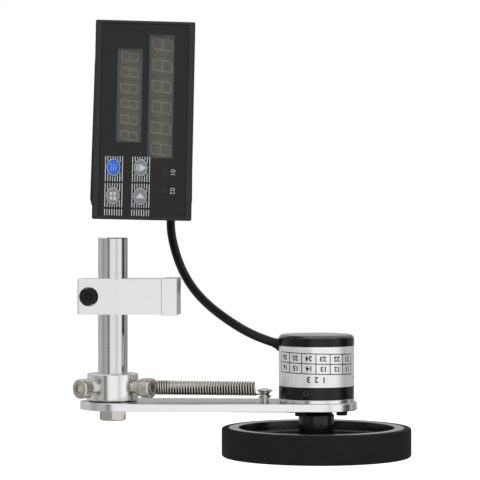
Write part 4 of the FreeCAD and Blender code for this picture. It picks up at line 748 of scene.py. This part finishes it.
def lettering(name, rows, place, weight=0.0):
    # plain numbers from the built-in font as thin solids; each row is (text, right, up, height, turn)
    points, faces, offset = [], [], 0
    for text, x, z, height, turnBy in rows:
        font = bpy.data.curves.new("mark", "FONT")
        font.body = text
        font.size = height / 0.7
        font.resolution_u = 3
        font.extrude = 0.03
        font.offset = weight
        holder = bpy.data.objects.new("mark", font)
        mesh = bpy.data.meshes.new_from_object(holder)
        co = np.zeros(len(mesh.vertices) * 3)
        mesh.vertices.foreach_get("co", co)
        co = co.reshape(-1, 3)
        flat = co[:, :2] - (co[:, :2].max(0) + co[:, :2].min(0)) / 2
        a = math.radians(turnBy)
        right = x + flat[:, 0] * math.cos(a) - flat[:, 1] * math.sin(a)
        up = z + flat[:, 0] * math.sin(a) + flat[:, 1] * math.cos(a)
        points.append(np.stack([right, -co[:, 2], up], axis=-1))
        faces += [[v + offset for v in polygon.vertices] for polygon in mesh.polygons]
        offset += len(co)
        bpy.data.objects.remove(holder)
        bpy.data.curves.remove(font)
        bpy.data.meshes.remove(mesh)
    return putMesh(name, place(np.vstack(points)), faces)


columnWidth = (table["right"] - table["left"]) / table["columns"]
half = table["line"] / 2
bars = []
edges = np.linspace(table["left"] - half, table["right"] + half, 41)
for z in table["rowsAt"]:
    bars += [[(a, z - half), (b, z - half), (b, z + half), (a, z + half)] for a, b in zip(edges[:-1], edges[1:])]
for x in np.linspace(table["left"], table["right"], table["columns"] + 1):
    bars.append([(x - half, table["rowsAt"][2]), (x + half, table["rowsAt"][2]), (x + half, table["rowsAt"][0]),
                 (x - half, table["rowsAt"][0])])
a, b = table["dash"]
bars += [[(a, z - h), (b, z - h), (b, z + h), (a, z + h)] for z, h in table["dashRows"]]
fit(extruded("label_table_lines", bars, -0.03, 0.02, onDrum), "arm", "blackPrintAndPaintedShade", "label_foil")
upperRow, lowerRow = np.convolve(table["rowsAt"], (0.5, 0.5), "valid")
numbers = []
for k in range(table["columns"]):
    x = table["left"] + (k + 0.5) * columnWidth
    numbers.append((str(26 - k), x, upperRow, table["letter"], 180))
    numbers.append((str(16 - k), x, lowerRow, table["letter"], 180))
numbers += [(text, x, table["marksAt"], table["markLetter"], 180) for text, x in (("3", -3.6), ("2", 0.3), ("1", 4.1))]
fit(lettering("label_numbers", numbers, onDrum, table["weight"]), "arm", "blackPrintAndPaintedShade", "label_foil")
print("stage: encoder")


# Measuring wheel

wheel = {"radius": 47.75, "inner": 44.2, "dish": 39.3, "top": -65.89, "bottom": -80.39, "edge": 0.7, "depth": 5.6,
         "hub": 9.0, "hubTop": -57.99, "hubRoot": 1.6, "grubAngle": 215.0}
top, bottom, e = wheel["top"], wheel["bottom"], wheel["edge"]
profile = [(wheel["inner"] + 0.02, bottom), (wheel["radius"] - e, bottom), (wheel["radius"], bottom + e),
           (wheel["radius"], top - e), (wheel["radius"] - e, top), (wheel["inner"] + 0.02, top),
           (wheel["inner"] + 0.02, bottom)]
fit(surface("rubber_tyre", [turned(softened(profile, 0.35, 4), encoderAxis, columns=240)]), "wheel", "tyreRubber",
    "wheel_rubber", "wheel_tyre")
webTop, webBottom, dish = top - wheel["depth"], bottom + wheel["depth"], wheel["dish"]
profile = [(wheel["hub"] + 0.02, webBottom), (dish - 1.2, webBottom), (dish, webBottom - 1.0), (dish, bottom),
           (wheel["inner"], bottom), (wheel["inner"], top), (dish, top), (dish, webTop + 1.0), (dish - 1.2, webTop),
           (wheel["hub"] + 0.02, webTop), (wheel["hub"] + 0.02, webBottom)]
rimPiece = lathe("wheel_rim_dish", profile, 0.3, encoderAxis, 240, "wheel", "anodisedBlack", "wheel_rim", "wheel_rim")
refinish(rimPiece, "ringTop", lambda middles, normals: (normals[:, 2] > 0.5) & (middles[:, 2] > top - 0.5))
h, hubTop, root = wheel["hub"], wheel["hubTop"], webBottom - wheel["hubRoot"]
profile = [(3.02, root), (h, root), (h, hubTop - 1.6), (h - 2.0, hubTop), (3.5, hubTop), (3.02, hubTop - 0.5),
           (3.02, root)]
lathe("wheel_hub_boss", profile, 0.3, encoderAxis, 120, "wheel", "anodisedBlack", "wheel_rim", "wheel_hub")
centre = np.array([encoder["x"], 0, hubTop - 5.0]) + heading(wheel["grubAngle"]) * 8.22
rows = [(0, -5.2, plain), (1.6, -5.2, plain), (2.0, -4.8, plain), (2.0, -0.3, plain), (1.75, 0, plain), (1.2, 0, plain),
        (1.0, -0.1, socket), (1.0, -1.9, socket), (0, -2.1, plain)]
fit(surface("hub_set_screw", [turnedRows(rows, centre, heading(wheel["grubAngle"]), 72, flats=2.0)]), "wheel",
    "blackOxide", "black_steel", "hub_grub_screw")
print("stage: wheel")


# Counter's case, front and inside

for node, name, width, finish, slot, body in (
        ("meter_bezel", "counter_bezel", 0.15, "bezelBlack", "black_plastic", "counter"),
        ("meter_case", "counter_case", 0.35, "meterBlack", "black_plastic", "counter"),
        ("front_sheet", "counter_front_sheet", 0.06, "frontFilm", "front_print", "counter"),
        ("left_clip", "left_panel_clip", 0.25, "meterBlack", "black_plastic", "left_clip"),
        ("right_clip", "right_panel_clip", 0.25, "meterBlack", "black_plastic", "right_clip"),
        ("terminal_block", "rear_terminal_block", 0.15, "terminalBlack", "black_plastic", "counter"),
        ("large_window", "large_window_pane", 0.1, "smokedPane", "window", "counter"),
        ("small_window", "small_window_pane", 0.1, "smokedPane", "window", "counter")):
    fit(edged(node, name, width), body, finish, slot, node)
dress("digitFace", "large_digits", "small_digits")
dress("boardGreen", "front_board", "main_board")
dress("relayBlack", "alarm_relays")
dress("coilTape", "transformer")
dress("switchBody", "key_switches")
dress("screwBrass", "terminal_screws")

display = {"depth": 4.9, "count": 6, "slant": 7.5,
           "large": dict(x=8.5, z=11.75, pitch=10.13, height=9.9, width=5.9, bar=0.85),
           "small": dict(x=-7.15, z=11.8, pitch=7.62, height=8.8, width=4.4, bar=0.75)}


def digitBars(d):
    # Seven bars of an eight as six-cornered outlines in the digit's own (right, up), slanted, then laid on their
    # side: the digit's up is the counter's right, and its right is the counter's down.
    w, h, half = d["width"] / 2, d["height"] / 2, d["bar"] / 2
    gap = 0.1
    levelReach, uprightReach = w - gap, h / 2 - gap
    level = np.array([(-levelReach, 0), (half - levelReach, half), (levelReach - half, half), (levelReach, 0),
                      (levelReach - half, -half), (half - levelReach, -half)])
    upright = np.array([(0, -uprightReach), (half, half - uprightReach), (half, uprightReach - half), (0, uprightReach),
                        (-half, uprightReach - half), (-half, half - uprightReach)])
    bars = [level + (0, v) for v in (-h + half, 0, h - half)]
    bars += [upright + (u, v) for u in (-w + half, w - half) for v in (-h / 2, h / 2)]
    bars = np.array(bars)
    bars[..., 0] += bars[..., 1] * math.tan(math.radians(display["slant"]))
    places = d["z"] + (np.arange(display["count"]) - (display["count"] - 1) / 2) * d["pitch"]
    x = d["x"] + bars[None, ..., 1] + 0 * places[:, None, None]
    z = places[:, None, None] - bars[None, ..., 0]
    return np.stack([x, z], axis=-1).reshape(-1, 6, 2)


for label in ("large", "small"):
    fit(extruded(label + "_digit_bars", digitBars(display[label]), display["depth"], display["depth"] + 0.1, onCounter),
        "counter", "digitBar", "digits")

keys = {"width": 6.6, "height": 8.5, "leftX": -14.05, "rightX": -0.95, "upperZ": -22.9, "lowerZ": -36.7, "front": 0.2}
keyPlaces = {"blue_key": (keys["leftX"], keys["upperZ"]), "right_key": (keys["rightX"], keys["upperZ"]),
             "menu_key": (keys["leftX"], keys["lowerZ"]), "up_key": (keys["rightX"], keys["lowerZ"])}


def bar(x, z, width, height):
    w, h = width / 2, height / 2
    return [(x - w, z - h), (x + w, z - h), (x + w, z + h), (x - w, z + h)]


def counterTurned(profile, x, z, columns=72, stretch=(1, 1)):
    # turned about a line into the counter; the profile's second number is the depth behind the bezel's front
    grid = turned(profile, (0, 0, 0), (0, 1, 0), columns, stretch=stretch)
    return onCounter(grid.reshape(-1, 3) + np.array([x, 0, z])).reshape(grid.shape)


# signs on the keys: bars, a triangle that points right with two bars behind it, four squares, a triangle that points up
left, right, upper, lower = keys["leftX"], keys["rightX"], keys["upperZ"], keys["lowerZ"]
keySigns = {
    "blue_key": [bar(left + d, upper, 0.5, 3.8) for d in (-1.1, 0.0, 1.1)],
    "right_key": [[(right - 0.5, upper - 2.0), (right + 2.6, upper - 0.1), (right + 2.6, upper + 0.1),
                   (right - 0.5, upper + 2.0)],
                  bar(right - 1.2, upper, 0.4, 3.4), bar(right - 2.0, upper, 0.4, 2.4)],
    "menu_key": [bar(left + u, lower + v, 1.15, 1.5) for u in (-0.85, 0.85) for v in (-1.1, 1.1)],
    "up_key": [[(right - 2.1, lower - 0.9), (right + 2.1, lower - 0.9), (right + 0.15, lower + 1.6),
                (right - 0.15, lower + 1.6)]],
}
f = keys["front"]
halfWide = keys["width"] / 2
stretch = (1, keys["height"] / keys["width"])
flange = (halfWide + 0.8) * 0.93
capProfile = [(0, f), (halfWide - 0.75, f + 0.01), (halfWide - 0.3, f + 0.08), (halfWide - 0.08, f + 0.22),
              (halfWide, f + 0.45),
              (halfWide, 3.35), (flange, 3.35), (flange, 4.2), (1.45, 4.2), (1.45, 5.9), (0, 5.9)]
ringProfile = [(halfWide - 0.4, f - 0.005), (halfWide - 0.2, f + 0.065), (halfWide - 0.02, f + 0.24),
               (halfWide - 0.1, f + 0.5),
               (halfWide - 0.4, f + 0.4), (halfWide - 0.4, f - 0.005)]
for keyName, (x, z) in keyPlaces.items():
    isBlue = keyName == "blue_key"
    slot = "blue_key" if isBlue else "grey_key"
    fit(surface(keyName + "_cap", [counterTurned(capProfile, x, z, 96, stretch)]), keyName,
        "keyBlue" if isBlue else "keyGrey", slot, keyName)
    fit(surface(keyName + "_ring", [counterTurned(ringProfile, x, z, 96, stretch)]), keyName, "keyRing", slot)
    fit(extruded(keyName + "_sign", keySigns[keyName], f - 0.02, f + 0.06, onCounter), keyName,
        "printBlue" if isBlue else "printLight", slot)

stripes = {"columns": (-18.1, -5.05), "lines": 8, "pitch": 1.17, "width": 0.36, "clear": 0.3, "shortest": 0.3,
           "blocks": ((-17.6, -29.7), (-30.6, -42.1), (-43.1, -46.2))}


def stripeParts(x, top, bottom):
    # the lengths of one line of a block that are clear of the keys
    for keyX, keyZ in keyPlaces.values():
        across = abs(x - keyX) / (keys["width"] / 2 + stripes["clear"])
        if across < 1 and bottom < keyZ < top:
            reach = (keys["height"] / 2 + stripes["clear"]) * math.sqrt(1 - across ** 2)
            return [(bottom, keyZ - reach), (keyZ + reach, top)]
    return [(bottom, top)]


outlines = []
for first in stripes["columns"]:
    for top, bottom in stripes["blocks"]:
        for x in first + stripes["width"] / 2 + np.arange(stripes["lines"]) * stripes["pitch"]:
            for a, b in stripeParts(x, top, bottom):
                if b - a > stripes["shortest"]:
                    outlines.append(bar(x, (a + b) / 2, stripes["width"], b - a))
f = counter["sheetFront"]
fit(extruded("key_field_stripes", outlines, f - 0.025, f + 0.05, onCounter), "counter", "printLight", "front_print")
lamps = {"x": 10.75, "z": (-24.5, -33.6), "letter": 2.3, "beside": 14.6}
lampNumbers = [(text, lamps["beside"], z - 0.2, lamps["letter"], -90) for text, z in zip(("01", "02"), lamps["z"])]
fit(lettering("alarm_numbers", lampNumbers, lambda p: onCounter(p + (0, f, 0))), "counter", "keyRing", "front_print")
lampProfile = [(0, 0.61), (1.0, 0.63), (1.46, 0.7), (1.5, 0.9), (1.46, 7.0), (1.46, 10.9), (0, 10.9)]
fit(surface("alarm_lamps", [counterTurned(lampProfile, lamps["x"], z, 48) for z in lamps["z"]]), "counter",
    "lampLens", "light", "alarm_lights")
print("stage: counter")


# Floor, world and lights

studio = {"floorZ": -0.1010, "floorSize": 1.6, "floorColour": 0.86, "floorGlow": 0.4, "even": 0.62, "skyFrom": 0.25,
          "skyTo": 0.9,
          "lights": (("key", (-0.5, -0.9, 0.9), (0.8, 0.8), 9.0), ("fill", (0.8, -0.8, 0.3), (0.8, 0.8), 3.5),
                     ("back", (0.1, 0.9, 0.8), (1.0, 0.6), 4.0)),
          # what shiny surfaces see: compass angle from the camera's side, positive to the right, and brightness
          "bands": ((-180, 0.45), (-131, 0.50), (-99, 0.53), (-80, 0.38), (-70, 0.33), (-60, 0.44), (-38, 0.46),
                    (-30, 0.17), (-24, 0.17), (-14, 0.85), (0, 0.93), (26, 0.88), (36, 0.62), (46, 0.90), (72, 1.0),
                    (84, 0.10), (106, 0.05), (116, 0.55), (128, 0.20), (150, 0.40), (180, 0.45))}


def makeFloor():
    # pale floor that glows a little for the camera and isn't there for shiny surfaces
    size, z = studio["floorSize"], studio["floorZ"]
    mesh = bpy.data.meshes.new("floor")
    mesh.from_pydata([(-size, -size, z), (size, -size, z), (size, size, z), (-size, size, z)], [], [(0, 1, 2, 3)])
    floor = bpy.data.objects.new("floor", mesh)
    bpy.context.scene.collection.objects.link(floor)
    material = bpy.data.materials.new("paleFloor")
    material.use_nodes = True
    tree = material.node_tree
    shader = tree.nodes["Principled BSDF"]
    shader.inputs["Base Color"].default_value = (studio["floorColour"],) * 3 + (1,)
    shader.inputs["Roughness"].default_value = 0.9
    seen = addNode(tree, "ShaderNodeLightPath")
    strength = addNode(tree, "ShaderNodeMath", operation="MULTIPLY")
    strength.inputs[1].default_value = studio["floorGlow"]
    glow = addNode(tree, "ShaderNodeEmission")
    both = addNode(tree, "ShaderNodeAddShader")
    clear = addNode(tree, "ShaderNodeBsdfTransparent")
    mix = addNode(tree, "ShaderNodeMixShader")
    join(seen, "Is Camera Ray", strength, 0)
    join(strength, 0, glow, "Strength")
    join(shader, 0, both, 0)
    join(glow, 0, both, 1)
    join(seen, "Is Glossy Ray", mix, "Fac")
    join(both, 0, mix, 1)
    join(clear, 0, mix, 2)
    tree.links.new(mix.outputs[0], tree.nodes["Material Output"].inputs["Surface"])
    mesh.materials.append(material)


def makeWorld():
    # White for what the camera sees. Shiny surfaces see the bands, brighter overhead, and all else an even soft light.
    world = bpy.data.worlds.new("studio")
    bpy.context.scene.world = world
    world.use_nodes = True
    tree = world.node_tree
    tree.nodes.clear()
    place = addNode(tree, "ShaderNodeTexCoord")
    apart = addNode(tree, "ShaderNodeSeparateXYZ")
    join(place, "Generated", apart, 0)
    front = addNode(tree, "ShaderNodeMath", operation="MULTIPLY")
    front.inputs[1].default_value = -1.0
    join(apart, "Y", front, 0)
    compass = addNode(tree, "ShaderNodeMath", operation="ARCTAN2")
    join(apart, "X", compass, 0)
    join(front, 0, compass, 1)
    share = addNode(tree, "ShaderNodeMapRange", **{"From Min": -math.pi, "From Max": math.pi})
    join(compass, 0, share, "Value")
    bands = addNode(tree, "ShaderNodeValToRGB")
    for angle, value in studio["bands"][1:-1]:
        bands.color_ramp.elements.new((angle + 180) / 360)
    for element, (angle, value) in zip(bands.color_ramp.elements, studio["bands"]):
        element.position = (angle + 180) / 360
        element.color = (value, value, value, 1)
    join(share, "Result", bands, "Fac")
    height = addNode(tree, "ShaderNodeMapRange", **{"From Min": studio["skyFrom"], "From Max": studio["skyTo"]})
    join(apart, "Z", height, "Value")
    sky = addNode(tree, "ShaderNodeMix", data_type="RGBA")
    join(height, "Result", sky, "Factor")
    join(bands, "Color", sky, "A")
    sky.inputs["B"].default_value = (0.95, 0.95, 0.95, 1)
    seen = addNode(tree, "ShaderNodeLightPath")
    shiny = addNode(tree, "ShaderNodeBackground")
    join(sky, "Result", shiny, "Color")
    even = addNode(tree, "ShaderNodeBackground", Color=(1, 1, 1, 1), Strength=studio["even"])
    white = addNode(tree, "ShaderNodeBackground", Color=(1, 1, 1, 1), Strength=1.0)
    unseen = addNode(tree, "ShaderNodeMixShader")
    whole = addNode(tree, "ShaderNodeMixShader")
    join(seen, "Is Glossy Ray", unseen, "Fac")
    join(even, 0, unseen, 1)
    join(shiny, 0, unseen, 2)
    join(seen, "Is Camera Ray", whole, "Fac")
    join(unseen, 0, whole, 1)
    join(white, 0, whole, 2)
    out = addNode(tree, "ShaderNodeOutputWorld")
    join(whole, 0, out, "Surface")


def makeLight(name, place, size, power):
    # soft panel that faces the object and that no shiny surface mirrors
    data = bpy.data.lights.new(name, "AREA")
    data.shape = "RECTANGLE"
    data.size, data.size_y = size
    data.energy = power
    light = bpy.data.objects.new(name, data)
    light.location = place
    light.rotation_euler = (Vector((0.03, 0, 0.02)) - Vector(place)).to_track_quat("-Z", "Y").to_euler()
    light.visible_glossy = False
    bpy.context.scene.collection.objects.link(light)


makeFloor()
makeWorld()
for light in studio["lights"]:
    makeLight(*light)
bpy.context.scene.view_settings.view_transform = "Standard"
print("stage: studio")
